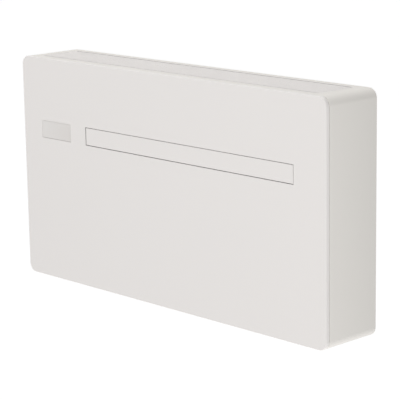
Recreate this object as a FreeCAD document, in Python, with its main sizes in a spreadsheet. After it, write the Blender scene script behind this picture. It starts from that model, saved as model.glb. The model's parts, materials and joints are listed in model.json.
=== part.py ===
import FreeCAD, Part
import math
import os
import re

import Sketcher
from FreeCAD import Placement, Rotation, Vector

# A wall-hung room air conditioner that holds its whole refrigerant circuit in one case and breathes
# through two ducts in the wall behind it. Millimetres. +X is to the viewer's right, +Y into the wall,
# +Z up. The origin is the middle of the rear face, on the wall.

SIZES = {
    # case and front panel
    "case_width": 1010, "case_height": 549, "unit_depth": 165, "case_corner": 22, "case_sheet": 1.5,
    "wall_gap": 5, "panel_depth": 9, "panel_reveal": 1.5, "panel_skin": 3, "panel_skirt": 3,
    "panel_edge": 2.5, "lip_width": 12, "fit_gap": 0.3,
    # air outlet, flap and display
    "outlet_left_margin": 234.4, "outlet_right_margin": 93.8, "outlet_drop": 153.6, "outlet_height": 44,
    "flap_gap": 1.2, "flap_end_gap": 2.2, "flap_skin": 3, "flap_nose": 1.8, "hinge_inset": 4.2,
    "pin_radius": 1.25, "bush_radius": 2,
    "pin_relief": 1.6, "window_edge": 0.8, "window_rebate": 3, "frame_wall": 2.5, "frame_end": 4,
    "frame_rear": 143, "motor_foot_depth": 29.2, "running_gap": 0.05,
    "display_left_margin": 70, "display_width": 109, "display_height": 43, "display_inset": 0.3,
    "board_thickness": 1.6, "guard_front": 153, "guard_depth": 7, "guard_fin": 1.2,
    # flap drive
    "gear_module": 1, "gear_face": 4, "flap_motor_radius": 14, "flap_motor_length": 18,
    "flap_motor_shaft": 2,
    # top grille and filters
    "grille_end_margin": 45, "grille_front": 140, "grille_rear": 22, "grille_depth": 8,
    "slat_width": 6, "slat_pitch": 8.5, "filter_depth": 5, "filter_bar": 6,
    "filter_mesh_depth": 0.8, "rail_sheet": 1.5,
    # chassis, wall bracket and ducts
    "chassis_sheet": 1.2, "chassis_flange": 14, "bracket_sheet": 2, "bracket_half": 400,
    "bracket_low_drop": 74.5, "bracket_height": 50, "bracket_hole": 3, "bracket_hole_half": 360,
    "bracket_hole_rise": 20, "seal_half": 330, "duct_spacing": 293, "duct_rise": 114.5,
    "duct_bore": 77, "duct_wall": 3, "duct_length": 25, "base_rise": 12.5, "pan_sheet": 1.2,
    "pan_wall": 12, "pan_inset": 6, "bulkhead_drop": 228.5, "bulkhead_sheet": 2,
    "partition_margin": 215,
    # indoor fan and air path
    "rotor_radius": 46, "rotor_inset": 88, "rotor_rise": 7, "rotor_end_gap": 6, "rotor_disc": 3,
    "scroll_gap": 5, "scroll_growth": 8, "scroll_wall": 2.5, "end_plate": 2, "shaft_radius": 4,
    "fan_motor_radius": 34, "fan_motor_length": 50,
    # coils
    "tube_radius": 3.5, "tube_gap": 0.3, "evap_pitch": 16.5, "evap_row_pitch": 12.7, "evap_inset": 82,
    "evap_drop": 66.5, "evap_tilt": 22, "coil_plate": 1.5, "cond_pitch": 23, "cond_row_pitch": 21,
    "cond_bend_room": 20, "tray_depth": 17, "tray_sheet": 1.5, "hose_radius": 6,
    # outdoor fan
    "wheel_radius": 80, "wheel_depth": 76, "wheel_inset": 36, "wheel_gap": 6, "wheel_growth": 26,
    "housing_wall": 3, "housing_rear": 30, "housing_depth": 88, "wheel_inlet": 64,
    "wheel_motor_radius": 48, "wheel_motor_length": 34,
    # compressor and electrical box
    "shell_radius": 56, "shell_height": 236, "shell_wall": 12, "shell_right_margin": 105, "shell_inset": 68,
    "foot_height": 12, "pipe_radius": 5, "pipe_clearance": 1,
    "box_width": 206, "box_height": 268, "box_depth": 104,
    "box_margin": 14, "box_sheet": 1.2,
    # fasteners and ways in and out
    "screw_radius": 1.75, "lip_middle": 7.5, "drain_radius": 8, "gland_radius": 9, "hook_width": 36,
}

PLACES = {
    "half_width": "case_width / 2", "half_height": "case_height / 2",
    "case_left": "-half_width", "case_low": "-half_height",
    "inner_left": "case_left + case_sheet", "inner_right": "half_width - case_sheet",
    "inner_low": "case_low + case_sheet", "inner_high": "half_height - case_sheet",
    "lip_left": "case_left + lip_width", "lip_right": "half_width - lip_width",
    "lip_low": "case_low + lip_width", "lip_high": "half_height - lip_width",
    "chassis_left": "inner_left + fit_gap", "chassis_right": "inner_right - fit_gap",
    "chassis_low": "inner_low + fit_gap", "chassis_high": "inner_high - fit_gap",
    "chassis_front": "-wall_gap - chassis_sheet",
    "case_front": "-(unit_depth - panel_depth - panel_reveal)",
    "panel_rear": "-(unit_depth - panel_depth)", "panel_face": "-unit_depth",
    "panel_inside": "-(unit_depth - panel_skin)",
    "skirt_left": "case_left + panel_skirt", "skirt_right": "half_width - panel_skirt",
    "skirt_low": "case_low + panel_skirt", "skirt_high": "half_height - panel_skirt",
    "outlet_left": "case_left + outlet_left_margin", "outlet_right": "half_width - outlet_right_margin",
    "outlet_high": "half_height - outlet_drop", "outlet_low": "outlet_high - outlet_height",
    "outlet_middle": "(outlet_low + outlet_high) / 2",
    "flap_left": "outlet_left + flap_end_gap", "flap_right": "outlet_right - flap_gap",
    "flap_high": "outlet_high - flap_gap",
    "hinge_y": "panel_face + hinge_inset", "hinge_z": "outlet_low + flap_gap + hinge_inset",
    "relief_left": "outlet_left - frame_end - gear_face - 4",
    "relief_right": "outlet_right + frame_end + 2",
    "rebate_left": "outlet_left - window_rebate", "rebate_right": "outlet_right + window_rebate",
    "relief_low": "hinge_z - 4.5", "relief_high": "hinge_z + 4.5",
    "pinion_y": "hinge_y + 30 * gear_module",
    "gear_high": "outlet_left - frame_end - 1", "gear_low": "gear_high - gear_face",
    "display_left": "case_left + display_left_margin", "display_right": "display_left + display_width",
    "display_low": "outlet_middle - display_height / 2",
    "display_high": "outlet_middle + display_height / 2",
    "grille_left": "case_left + grille_end_margin", "grille_right": "half_width - grille_end_margin",
    "grille_low": "half_height - grille_depth", "filter_low": "grille_low - fit_gap - filter_depth",
    "bracket_low": "half_height - bracket_low_drop", "bracket_high": "bracket_low + bracket_height",
    "bracket_middle": "(bracket_low + bracket_high) / 2",
    "hook_low": "bracket_low + 8", "hook_high": "bracket_high - 12",
    "window_low": "hook_low - 3", "window_high": "hook_high",
    "grille_front_y": "-grille_front", "grille_rear_y": "-grille_rear",
    "chassis_bend": "case_sheet + fit_gap", "flange_bend": "chassis_bend + chassis_sheet",
    "flange_left": "chassis_left + chassis_sheet", "flange_right": "chassis_right - chassis_sheet",
    "flange_low": "chassis_low + chassis_sheet", "flange_high": "chassis_high - chassis_sheet",
    "duct_x": "duct_spacing / 2", "duct_left_x": "-duct_x", "duct_z": "case_low + duct_rise",
    "seal_low": "case_low + 24.5", "seal_high": "half_height - 214.5",
    "pan_floor": "case_low + base_rise", "pan_top": "pan_floor + pan_sheet",
    "pan_left": "case_left + pan_inset", "pan_right": "half_width - pan_inset",
    "pan_front": "case_front + case_sheet + 4", "pan_rear": "chassis_front - 1.8",
    "bulkhead_low": "half_height - bulkhead_drop - bulkhead_sheet",
    "bulkhead_high": "half_height - bulkhead_drop",
    "partition_x": "half_width - partition_margin",
    "box_left": "case_left + box_margin", "box_right": "box_left + box_width",
    "drain_x": "partition_x - 40", "drain_y": "pan_rear - 24", "gland_x": "box_left + 40",
    "gland_y": "-60",
    "rotor_y": "-rotor_inset", "rotor_z": "outlet_high + rotor_rise",
    "rotor_left": "outlet_left + rotor_end_gap", "rotor_right": "outlet_right - rotor_end_gap",
    "fan_motor_right": "outlet_left - 18", "fan_motor_left": "fan_motor_right - fan_motor_length",
    "evap_y": "-evap_inset", "evap_z": "half_height - evap_drop",
    "tray_low": "rotor_z + rotor_radius * 0.4", "tray_front": "rotor_y + rotor_radius + 9",
    "hose_x": "partition_x + 25", "hose_y": "pan_rear - 12",
    "cond_low": "pan_top + cond_bend_room + 2", "cond_high": "bulkhead_low - cond_bend_room - 2",
    "housing_front": "-housing_rear - housing_depth",
    "shell_x": "half_width - shell_right_margin", "shell_y": "-shell_inset",
    "shell_low": "pan_top + foot_height",
    "box_low": "pan_top + 8", "box_high": "box_low + box_height",
    "box_rear": "chassis_front - 34", "box_front": "box_rear - box_depth",
    "riser_x": "shell_x + shell_radius - 4", "riser_y": "-70", "liquid_x": "shell_x + shell_radius + 26",
    "cross_y": "(pan_front + pan_rear) / 2 - 2.5 * cond_pitch", "hot_z": "pan_top + 14",
    "cool_z": "pan_top + 5.5",
    "pot_x": "partition_x + 31", "pot_y": "-110",
}
HOOK_SPOTS = {"a": -0.9, "b": -0.35, "c": 0.35, "d": 0.9}
for letter, share in HOOK_SPOTS.items():
    PLACES[f"hook_{letter}_left"] = f"bracket_half * {share} - hook_width / 2"
    PLACES[f"hook_{letter}_right"] = f"hook_{letter}_left + hook_width"
    PLACES[f"window_{letter}_left"] = f"hook_{letter}_left - 2"
    PLACES[f"window_{letter}_right"] = f"hook_{letter}_right + 2"

doc = FreeCAD.newDocument("WallAirConditioner")
CELLS = {}
SHEETS = {}
NODES = []
WORD = re.compile(r"[a-z]+(?:_[a-z]+)+")


def formula(text, home=""):
    """The formula with each name pointed at its cell; names of its home sheet stay as they are."""
    def point(found):
        word = found.group()
        return word if CELLS[word] == home else f"{CELLS[word]}.{word}"
    return WORD.sub(point, text)


def fill_sheet(name, rows, mark=""):
    """A sheet with a named cell for each row: a number, or a formula where mark is an equals sign."""
    sheet = doc.addObject("Spreadsheet::Sheet", name)
    for row, (alias, content) in enumerate(rows.items(), start=1):
        CELLS[alias] = name
        SHEETS[alias] = sheet
        sheet.set(f"A{row}", alias)
        sheet.set(f"B{row}", mark + formula(str(content), name))
        sheet.setAlias(f"B{row}", alias)
    doc.recompute()


def value(alias):
    """The number that a size or a place has now."""
    return float(SHEETS[alias].get(alias))


def node(label, item):
    """Name a finished sub-part and put it on the list of those to write."""
    item.Label = label
    NODES.append(item)
    return item


# ---- primitives and booleans -------------------------------------------------------------------

ALONG = {"x": Rotation(Vector(0, 1, 0), 90), "y": Rotation(Vector(1, 0, 0), -90), "z": Rotation()}


def box(name, x, y, z):
    """A block that lies between a low and a high place on each axis."""
    block = doc.addObject("Part::Box", name)
    for side, axis, (low, high) in zip(("Length", "Width", "Height"), "xyz", (x, y, z)):
        block.setExpression(side, formula(f"({high}) - ({low})"))
        block.setExpression(f"Placement.Base.{axis}", formula(low))
    return block


def rod(name, axis, x, y, z, radius):
    """A round bar along one axis; that axis has a (low, high) span and the others one place each."""
    bar = doc.addObject("Part::Cylinder", name)
    bar.Placement = Placement(Vector(), ALONG[axis])
    bar.setExpression("Radius", formula(radius))
    for letter, place in zip("xyz", (x, y, z)):
        if letter == axis:
            low, high = place
            bar.setExpression("Height", formula(f"({high}) - ({low})"))
            place = low
        bar.setExpression(f"Placement.Base.{letter}", formula(place))
    return bar


def join(name, *pieces):
    """The pieces fused into one."""
    whole = doc.addObject("Part::MultiFuse", name)
    whole.Shapes = list(pieces)
    return whole


def group(name, *pieces):
    """Separate solids that belong to one sub-part."""
    whole = doc.addObject("Part::Compound", name)
    whole.Links = list(pieces)
    return whole


def cut(name, base, *tools):
    """The base with every tool taken out of it."""
    result = doc.addObject("Part::Cut", name)
    result.Base = base
    result.Tool = tools[0] if len(tools) == 1 else group(name + "_tools", *tools)
    return result


def solid(name, shape, spot=None):
    """A sub-part whose shape is worked out here from the sheets, carried to its spot if it has one."""
    item = doc.addObject("Part::Feature", name)
    item.Shape = shape
    item.Placement = spot or shape.Placement
    return item


def prism_x(points, low, high):
    """An outline of (y, z) points pushed along X from low to high."""
    wire = Part.makePolygon([Vector(low, y, z) for y, z in points + points[:1]])
    return Part.Face(wire).extrude(Vector(high - low, 0, 0))


# ---- sketches ----------------------------------------------------------------------------------

def sketch_on(body, name, plane, height):
    """An empty sketch on one of the body's origin planes, moved along the plane's own normal."""
    sketch = body.newObject("Sketcher::SketchObject", name)
    support = next(item for item in body.Origin.OriginFeatures if item.Role == plane)
    sketch.AttachmentSupport = (support, [""])
    sketch.MapMode = "FlatFace"
    sketch.setExpression("AttachmentOffset.Base.z", formula(height))
    return sketch


def hold(sketch, kind, number, alias, *where):
    """A dimension of a sketch bound to a size or place."""
    index = sketch.addConstraint(Sketcher.Constraint(kind, *where, number))
    sketch.setExpression(f"Constraints[{index}]", formula(alias))


def draw_rectangle(sketch, left, right, low, high):
    """A plain rectangle between four named places."""
    first = sketch.GeometryCount
    x0, x1, y0, y1 = (value(place) for place in (left, right, low, high))
    corners = [Vector(x0, y0), Vector(x1, y0), Vector(x1, y1), Vector(x0, y1)]
    for index in range(4):
        sketch.addGeometry(Part.LineSegment(corners[index], corners[(index + 1) % 4]), False)
    for index in range(4):
        line = first + index
        sketch.addConstraint(Sketcher.Constraint("Coincident", line, 2, first + (index + 1) % 4, 1))
        sketch.addConstraint(Sketcher.Constraint(("Horizontal", "Vertical")[index % 2], line))
    hold(sketch, "DistanceY", y0, low, -1, 1, first, 1)
    hold(sketch, "DistanceX", x1, right, -1, 1, first + 1, 1)
    hold(sketch, "DistanceY", y1, high, -1, 1, first + 2, 1)
    hold(sketch, "DistanceX", x0, left, -1, 1, first + 3, 1)


def draw_rounded(sketch, left, right, low, high, radius, thinner="0"):
    """A rectangle with round corners between four named places; thinner is taken off their radius."""
    first = sketch.GeometryCount
    x0, x1, y0, y1 = (value(place) for place in (left, right, low, high))
    bend = value(radius) - (value(thinner) if thinner in CELLS else 0)
    ends = [(x0 + bend, y0), (x1 - bend, y0), (x1, y0 + bend), (x1, y1 - bend),
            (x1 - bend, y1), (x0 + bend, y1), (x0, y1 - bend), (x0, y0 + bend)]
    centres = [(x1 - bend, y0 + bend), (x1 - bend, y1 - bend), (x0 + bend, y1 - bend),
               (x0 + bend, y0 + bend)]
    for index, centre in enumerate(centres):
        start = (index - 1) * math.pi / 2
        circle = Part.Circle(Vector(*centre), Vector(0, 0, 1), bend)
        sketch.addGeometry(Part.LineSegment(Vector(*ends[2 * index]), Vector(*ends[2 * index + 1])), False)
        sketch.addGeometry(Part.ArcOfCircle(circle, start, start + math.pi / 2), False)
    for index in range(4):
        line = first + 2 * index
        sketch.addConstraint(Sketcher.Constraint("Tangent", line, 2, line + 1, 1))
        sketch.addConstraint(Sketcher.Constraint("Tangent", line + 1, 2, first + (2 * index + 2) % 8, 1))
        sketch.addConstraint(Sketcher.Constraint(("Horizontal", "Vertical")[index % 2], line))
        if index:
            sketch.addConstraint(Sketcher.Constraint("Equal", first + 1, line + 1))
    hold(sketch, "Radius", bend, f"{radius} - {thinner}", first + 1)
    hold(sketch, "DistanceY", y0, low, -1, 1, first, 1)
    hold(sketch, "DistanceX", x1, right, -1, 1, first + 2, 1)
    hold(sketch, "DistanceY", y1, high, -1, 1, first + 4, 1)
    hold(sketch, "DistanceX", x0, left, -1, 1, first + 6, 1)


def draw_circle(sketch, x, y, radius, extra="0"):
    """A circle at two named places, its radius a named size and an allowance."""
    index = sketch.GeometryCount
    size = value(radius) + (value(extra) if extra in CELLS else float(extra))
    sketch.addGeometry(Part.Circle(Vector(value(x), value(y)), Vector(0, 0, 1), size), False)
    hold(sketch, "Radius", size, f"{radius} + {extra}", index)
    hold(sketch, "DistanceX", value(x), x, -1, 1, index, 3)
    hold(sketch, "DistanceY", value(y), y, -1, 1, index, 3)


def feature(body, kind, sketch, length, reverse=False):
    """A pad or a pocket of a sketch; a pocket goes against the sketch's normal unless it is reversed."""
    item = body.newObject(f"PartDesign::{kind}", f"{sketch.Name}_{kind.lower()}")
    item.Profile = sketch
    item.setExpression("Length", formula(length))
    item.Reversed = reverse
    doc.recompute()
    return item


def edges_at(shape, test):
    """Names of the edges of which every end passes the test."""
    return [f"Edge{number}" for number, edge in enumerate(shape.Edges, start=1)
            if all(test(vertex.Point) for vertex in edge.Vertexes)]


# ---- case and front ----------------------------------------------------------------------------

def make_front_panel():
    """A moulded tray of the case's outline with a soft front edge and windows for flap and display."""
    body = doc.addObject("PartDesign::Body", "front_panel_body")
    outline = sketch_on(body, "panel_outline", "XZ_Plane", "-panel_rear")
    draw_rounded(outline, "case_left", "half_width", "case_low", "half_height", "case_corner")
    pad = feature(body, "Pad", outline, "panel_depth")
    front = value("panel_face")
    fillet = body.newObject("PartDesign::Fillet", "panel_soft_edge")
    fillet.Base = (pad, edges_at(pad.Shape, lambda point: abs(point.y - front) < 1e-6))
    fillet.setExpression("Radius", formula("panel_edge"))
    doc.recompute()
    inside = sketch_on(body, "panel_hollow", "XZ_Plane", "-panel_rear")
    draw_rounded(inside, "skirt_left", "skirt_right", "skirt_low", "skirt_high", "case_corner",
                 "panel_skirt")
    feature(body, "Pocket", inside, "panel_depth - panel_skin", True)
    windows = sketch_on(body, "panel_windows", "XZ_Plane", "-panel_rear")
    draw_rectangle(windows, "outlet_left", "outlet_right", "outlet_low", "outlet_high")
    draw_rectangle(windows, "display_left", "display_right", "display_low", "display_high")
    feature(body, "Pocket", windows, "panel_depth + 1", True)
    reliefs = sketch_on(body, "panel_pin_reliefs", "XZ_Plane", "-panel_inside")
    draw_rectangle(reliefs, "relief_left", "outlet_left", "relief_low", "relief_high")
    draw_rectangle(reliefs, "outlet_right", "relief_right", "relief_low", "relief_high")
    feature(body, "Pocket", reliefs, "pin_relief", True)
    rebates = sketch_on(body, "panel_window_rebates", "XZ_Plane", "-panel_inside")
    draw_rectangle(rebates, "rebate_left", "outlet_left", "outlet_low", "outlet_high")
    draw_rectangle(rebates, "outlet_right", "rebate_right", "outlet_low", "outlet_high")
    feature(body, "Pocket", rebates, "panel_skin - window_edge", True)
    node("front_panel", body)


def make_case_shell():
    """Sheet wrapped round top, sides and bottom, with a lip at the front and the intake window on top."""
    body = doc.addObject("PartDesign::Body", "case_shell_body")
    outline = sketch_on(body, "case_outline", "XZ_Plane", "wall_gap")
    draw_rounded(outline, "case_left", "half_width", "case_low", "half_height", "case_corner")
    feature(body, "Pad", outline, "-case_front - wall_gap")
    hollow = sketch_on(body, "case_hollow", "XZ_Plane", "wall_gap")
    draw_rounded(hollow, "inner_left", "inner_right", "inner_low", "inner_high", "case_corner",
                 "case_sheet")
    feature(body, "Pocket", hollow, "-case_front - wall_gap - case_sheet", True)
    lip = sketch_on(body, "case_lip", "XZ_Plane", "wall_gap")
    draw_rounded(lip, "lip_left", "lip_right", "lip_low", "lip_high", "case_corner", "lip_width")
    feature(body, "Pocket", lip, "unit_depth", True)
    intake = sketch_on(body, "case_intake", "XY_Plane", "inner_high - 1")
    draw_rectangle(intake, "grille_left", "grille_right", "grille_front_y", "grille_rear_y")
    feature(body, "Pocket", intake, "case_sheet + 2", True)
    outlets = sketch_on(body, "case_base_holes", "XY_Plane", "inner_low + 1")
    draw_circle(outlets, "drain_x", "drain_y", "drain_radius", "4")
    draw_circle(outlets, "gland_x", "gland_y", "gland_radius", "fit_gap")
    feature(body, "Pocket", outlets, "case_sheet + 2")
    screws = [rod(f"lip_hole_{index}", "y", x, ("case_front - 1", "case_front + 4"), z,
                  "screw_radius + fit_gap")
              for index, (x, z) in enumerate(screw_places())]
    node("case_shell", cut("case_shell_cut", body, *screws))


def screw_places():
    """Where the case's screws go through its lip."""
    high, low, side = "half_height - lip_middle", "case_low + lip_middle", "half_width - lip_middle"
    across = ["-half_width * 0.62", "0", "half_width * 0.62"]
    return [(x, z) for z in (high, low) for x in across] + [(f"-({side})", "bulkhead_low - 12"),
                                                            (side, "bulkhead_low - 12")]


def make_casing_screws():
    screws = []
    for index, (x, z) in enumerate(screw_places()):
        head = rod(f"screw_head_{index}", "y", x, ("case_front - 2", "case_front"), z, "screw_radius * 2")
        shank = rod(f"screw_shank_{index}", "y", x, ("case_front", "case_front + 8"), z, "screw_radius")
        screws.append(join(f"screw_{index}", head, shank))
    node("casing_screws", group("casing_screws_group", *screws))


def make_panel_clips():
    """Snap hooks on the panel's back that reach behind the lip's inner edge."""
    clips = []
    for side, edge in ((1, "lip_high"), (-1, "lip_low")):
        for index, share in enumerate((-0.8, -0.3, 0.3, 0.8)):
            x = f"half_width * {share}"
            across = (f"{x} - 7", f"{x} + 7")
            stem = [f"{edge} - {side} * 4.5", f"{edge} - {side} * fit_gap"]
            nose = [f"{edge} - {side} * 4.5", f"{edge} + {side} * 3"]
            behind = ("case_front + case_sheet + fit_gap", "case_front + case_sheet + 3")
            arm = box(f"clip_arm_{side + 1}_{index}", across, ("panel_inside", behind[1]),
                      tuple(stem[::side]))
            tip = box(f"clip_tip_{side + 1}_{index}", across, behind, tuple(nose[::side]))
            clips.append(join(f"clip_{side + 1}_{index}", arm, tip))
    node("panel_clips", group("panel_clips_group", *clips))


def make_display():
    """The window flush in the panel, with a rim behind it, and the lamp board at its back."""
    pane = box("display_pane", ("display_left + fit_gap", "display_right - fit_gap"),
               ("panel_face + display_inset", "panel_inside"),
               ("display_low + fit_gap", "display_high - fit_gap"))
    rim = box("display_rim", ("display_left - 4", "display_right + 4"),
              ("panel_inside", "panel_inside + 1.5"),
              ("display_low - 4", "display_high + 4"))
    node("display_window", join("display_window_join", pane, rim))
    rear = "panel_inside + 1.5"
    board = box("display_board_sheet", ("display_left - 2", "display_right + 2"),
                (rear, f"{rear} + board_thickness"), ("display_low - 2", "display_high + 2"))
    parts = [board]
    for index, (low, high, rise) in enumerate(((0.1, 0.32, 3), (0.42, 0.55, 2), (0.64, 0.92, 3.4))):
        span = (f"display_left + display_width * {low}", f"display_left + display_width * {high}")
        parts.append(box(f"display_chip_{index}", span,
                         (f"{rear} + board_thickness", f"{rear} + board_thickness + {rise}"),
                         ("outlet_middle - 7", "outlet_middle + 7")))
    node("display_board", group("display_board_group", *parts))


# ---- flap and its drive ------------------------------------------------------------------------

def make_flap():
    """A long leaf with a rolled lower edge that turns on a pin at each end."""
    across = ("flap_left", "flap_right")
    low = "hinge_z - hinge_inset"
    leaf = box("flap_leaf", across, ("panel_face", "panel_face + flap_skin"),
               (f"{low} + flap_nose", "flap_high"))
    nose = rod("flap_nose_bar", "x", across, "panel_face + flap_nose", f"{low} + flap_nose", "flap_nose")
    sole = box("flap_sole", across, ("panel_face + flap_nose", "hinge_y"), (low, "hinge_z"))
    roll = rod("flap_roll", "x", across, "hinge_y", "hinge_z", "hinge_inset")
    rib = box("flap_rib", ("flap_left + 6", "flap_right - 6"),
              ("panel_face + flap_skin", "panel_face + flap_skin + 3"),
              ("flap_high - 5", "flap_high - 3"))
    pins = []
    holes = []
    for name, low, high in (("left", "gear_low - 1", "flap_left + 8"),
                            ("right", "flap_right - 8", "relief_right - 1.5")):
        pins.append(rod(f"pin_{name}", "x", (low, high), "hinge_y", "hinge_z", "pin_radius"))
        holes.append(rod(f"pin_hole_{name}", "x", (low, high), "hinge_y", "hinge_z", "pin_radius"))
    whole = join("flap_join", leaf, nose, sole, roll, rib)
    node("outlet_flap", cut("flap_cut", whole, *holes))
    node("flap_hinge_pins", group("flap_pins_group", *pins))
    bushes = []
    for name, low, high in (("left", "outlet_left - frame_end", "outlet_left"),
                            ("right", "outlet_right", "outlet_right + frame_end")):
        sleeve = rod(f"bush_{name}", "x", (low, high), "hinge_y", "hinge_z", "bush_radius")
        bore = rod(f"bush_bore_{name}", "x", (f"{low} - 1", f"{high} + 1"), "hinge_y", "hinge_z",
                   "pin_radius + running_gap")
        bushes.append(cut(f"bush_cut_{name}", sleeve, bore))
    node("flap_bushes", group("flap_bushes_group", *bushes))


def gear_outline(teeth, module, turn, thin):
    """Outline of a spur gear's stub teeth as (y, z) points about its own centre, with involute flanks."""
    pitch = teeth * module / 2
    base = pitch * math.cos(math.radians(25))
    tip, root = pitch + 0.75 * module, pitch - 1.05 * module
    def flank_angle(radius):
        roll = math.acos(min(1.0, base / max(radius, base)))
        return math.tan(roll) - roll
    half = math.pi / (2 * teeth) - thin / (2 * pitch) + flank_angle(pitch)
    steps = [root] + [max(base, root) + (tip - max(base, root)) * share / 4 for share in range(5)]
    flank = [(radius, half - flank_angle(radius)) for radius in steps]
    points = []
    for tooth in range(teeth):
        middle = turn + tooth * 2 * math.pi / teeth
        for radius, angle in [(r, -a) for r, a in flank] + flank[::-1]:
            points.append((radius * math.cos(middle + angle), radius * math.sin(middle + angle)))
    return points


def make_flap_drive():
    """A toothed sector on the flap's left pin, turned by a pinion on a small geared motor."""
    module, low, high = value("gear_module"), value("gear_low"), value("gear_high")
    hinge_y, hinge_z, pinion_y = value("hinge_y"), value("hinge_z"), value("pinion_y")
    sector_teeth, pinion_teeth, thin = 48, 12, 0.16 * module
    at_hinge = [(y + hinge_y, z + hinge_z) for y, z in gear_outline(sector_teeth, module, 0, thin)]
    reach = 30 * module
    wedge = [(hinge_y, hinge_z)]
    for angle in (-84, -60, -30, 0, 10):
        wedge.append((hinge_y + reach * math.cos(math.radians(angle)),
                      hinge_z + reach * math.sin(math.radians(angle))))
    hub = Part.makeCylinder(value("bush_radius") + 0.4, high - low, Vector(low, hinge_y, hinge_z),
                            Vector(1, 0, 0))
    bore = Part.makeCylinder(value("pin_radius"), high - low, Vector(low, hinge_y, hinge_z),
                             Vector(1, 0, 0))
    sector = prism_x(at_hinge, low, high).common(prism_x(wedge, low, high)).fuse(hub).cut(bore)
    node("flap_gear", solid("flap_gear_solid", sector.removeSplitter()))
    turn = math.pi / pinion_teeth
    at_motor = [(y + pinion_y, z + hinge_z) for y, z in gear_outline(pinion_teeth, module, turn, thin)]
    shaft = Part.makeCylinder(value("flap_motor_shaft"), 12, Vector(low - 12, pinion_y, hinge_z),
                              Vector(1, 0, 0))
    node("flap_pinion", solid("flap_pinion_solid", prism_x(at_motor, low, high).fuse(shaft)))
    right = "gear_low - 3 - frame_wall"
    can = rod("flap_motor_can", "x", (f"{right} - flap_motor_length", right), "pinion_y", "hinge_z",
              "flap_motor_radius")
    ears = box("flap_motor_ears", (f"{right} - 1.5", right), ("pinion_y - 3.5", "pinion_y + 3.5"),
               ("hinge_z - flap_motor_radius - 5", "hinge_z + flap_motor_radius + 5"))
    bore = rod("flap_motor_bore", "x", ("gear_low - 13", f"{right} + 1"), "pinion_y", "hinge_z",
               "flap_motor_shaft + running_gap")
    node("flap_motor", cut("flap_motor_cut", join("flap_motor_join", can, ears), bore))


def make_outlet_frame():
    """The mouth of the air path: four walls, an ear for each flap pin and the flap motor's plate."""
    outer = box("frame_outer", ("outlet_left - frame_end", "outlet_right + frame_end"),
                ("panel_inside + fit_gap", "-frame_rear"),
                ("outlet_low - frame_wall", "outlet_high + frame_wall"))
    inner = box("frame_inner", ("outlet_left", "outlet_right"), ("panel_inside - 9", "1 - frame_rear"),
                ("outlet_low", "outlet_high"))
    frame = cut("frame_ring", outer, inner)
    ear_front = "panel_inside - pin_relief + fit_gap"
    pieces = [frame]
    for name, low, high in (("left", "outlet_left - frame_end", "outlet_left"),
                            ("right", "outlet_right", "outlet_right + frame_end")):
        pieces.append(box(f"frame_ear_{name}", (low, high), (ear_front, "hinge_y + 3"),
                          ("hinge_z - 4", "hinge_z + 4")))
    plate = ("gear_low - 3 - frame_wall", "gear_low - 3")
    pieces.append(box("motor_plate", plate, ("pinion_y - 17", "pinion_y + 17"),
                      ("hinge_z - 21", "hinge_z + 21")))
    foot_rear = "motor_foot_depth - frame_rear"
    for name, low, high in (("lower", "hinge_z - 21", "hinge_z - 19"),
                            ("upper", "hinge_z + 19", "hinge_z + 21")):
        pieces.append(box(f"motor_web_{name}", (plate[0], "outlet_left - frame_end"),
                          ("pinion_y - 2", foot_rear), (low, high)))
        pieces.append(box(f"motor_foot_{name}", ("outlet_left - frame_end", "outlet_left - end_plate"),
                          ("-frame_rear - 4", foot_rear), (low, high)))
    holes = [rod(f"ear_hole_{name}", "x", span, "hinge_y", "hinge_z", "bush_radius")
             for name, span in (("left", ("outlet_left - frame_end - 1", "outlet_left + 1")),
                                ("right", ("outlet_right - 1", "outlet_right + frame_end + 1")))]
    holes.append(rod("motor_plate_hole", "x", ("gear_low - 9", "gear_low - 2"), "pinion_y", "hinge_z",
                     "flap_motor_shaft + 1"))
    node("outlet_frame", cut("outlet_frame_cut", join("outlet_frame_join", *pieces), *holes))


def make_outlet_guard():
    """Fixed upright fins held by a rail above and below, that keep fingers out of the rotor."""
    front, rear = "-guard_front", "guard_depth - guard_front"
    low, high = "outlet_low + fit_gap", "outlet_high - fit_gap"
    ends = ("outlet_left + fit_gap", "outlet_right - fit_gap")
    pieces = [box("guard_rail_low", ends, (front, rear), (low, f"{low} + 1.5")),
              box("guard_rail_high", ends, (front, rear), (f"{high} - 1.5", high)),
              box("guard_wire", ends, (f"{rear} - 1.5", rear),
                  ("outlet_middle - 0.8", "outlet_middle + 0.8"))]
    fins = round((value("outlet_right") - value("outlet_left")) / 17)
    for index in range(fins + 1):
        run = "outlet_right - outlet_left - 2 * fit_gap - guard_fin"
        x = f"outlet_left + fit_gap + ({run}) * {index / fins}"
        pieces.append(box(f"guard_fin_{index}", (x, f"{x} + guard_fin"), (front, rear), (low, high)))
    node("outlet_guard", join("outlet_guard_join", *pieces))


# ---- top grille and filters --------------------------------------------------------------------

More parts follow.
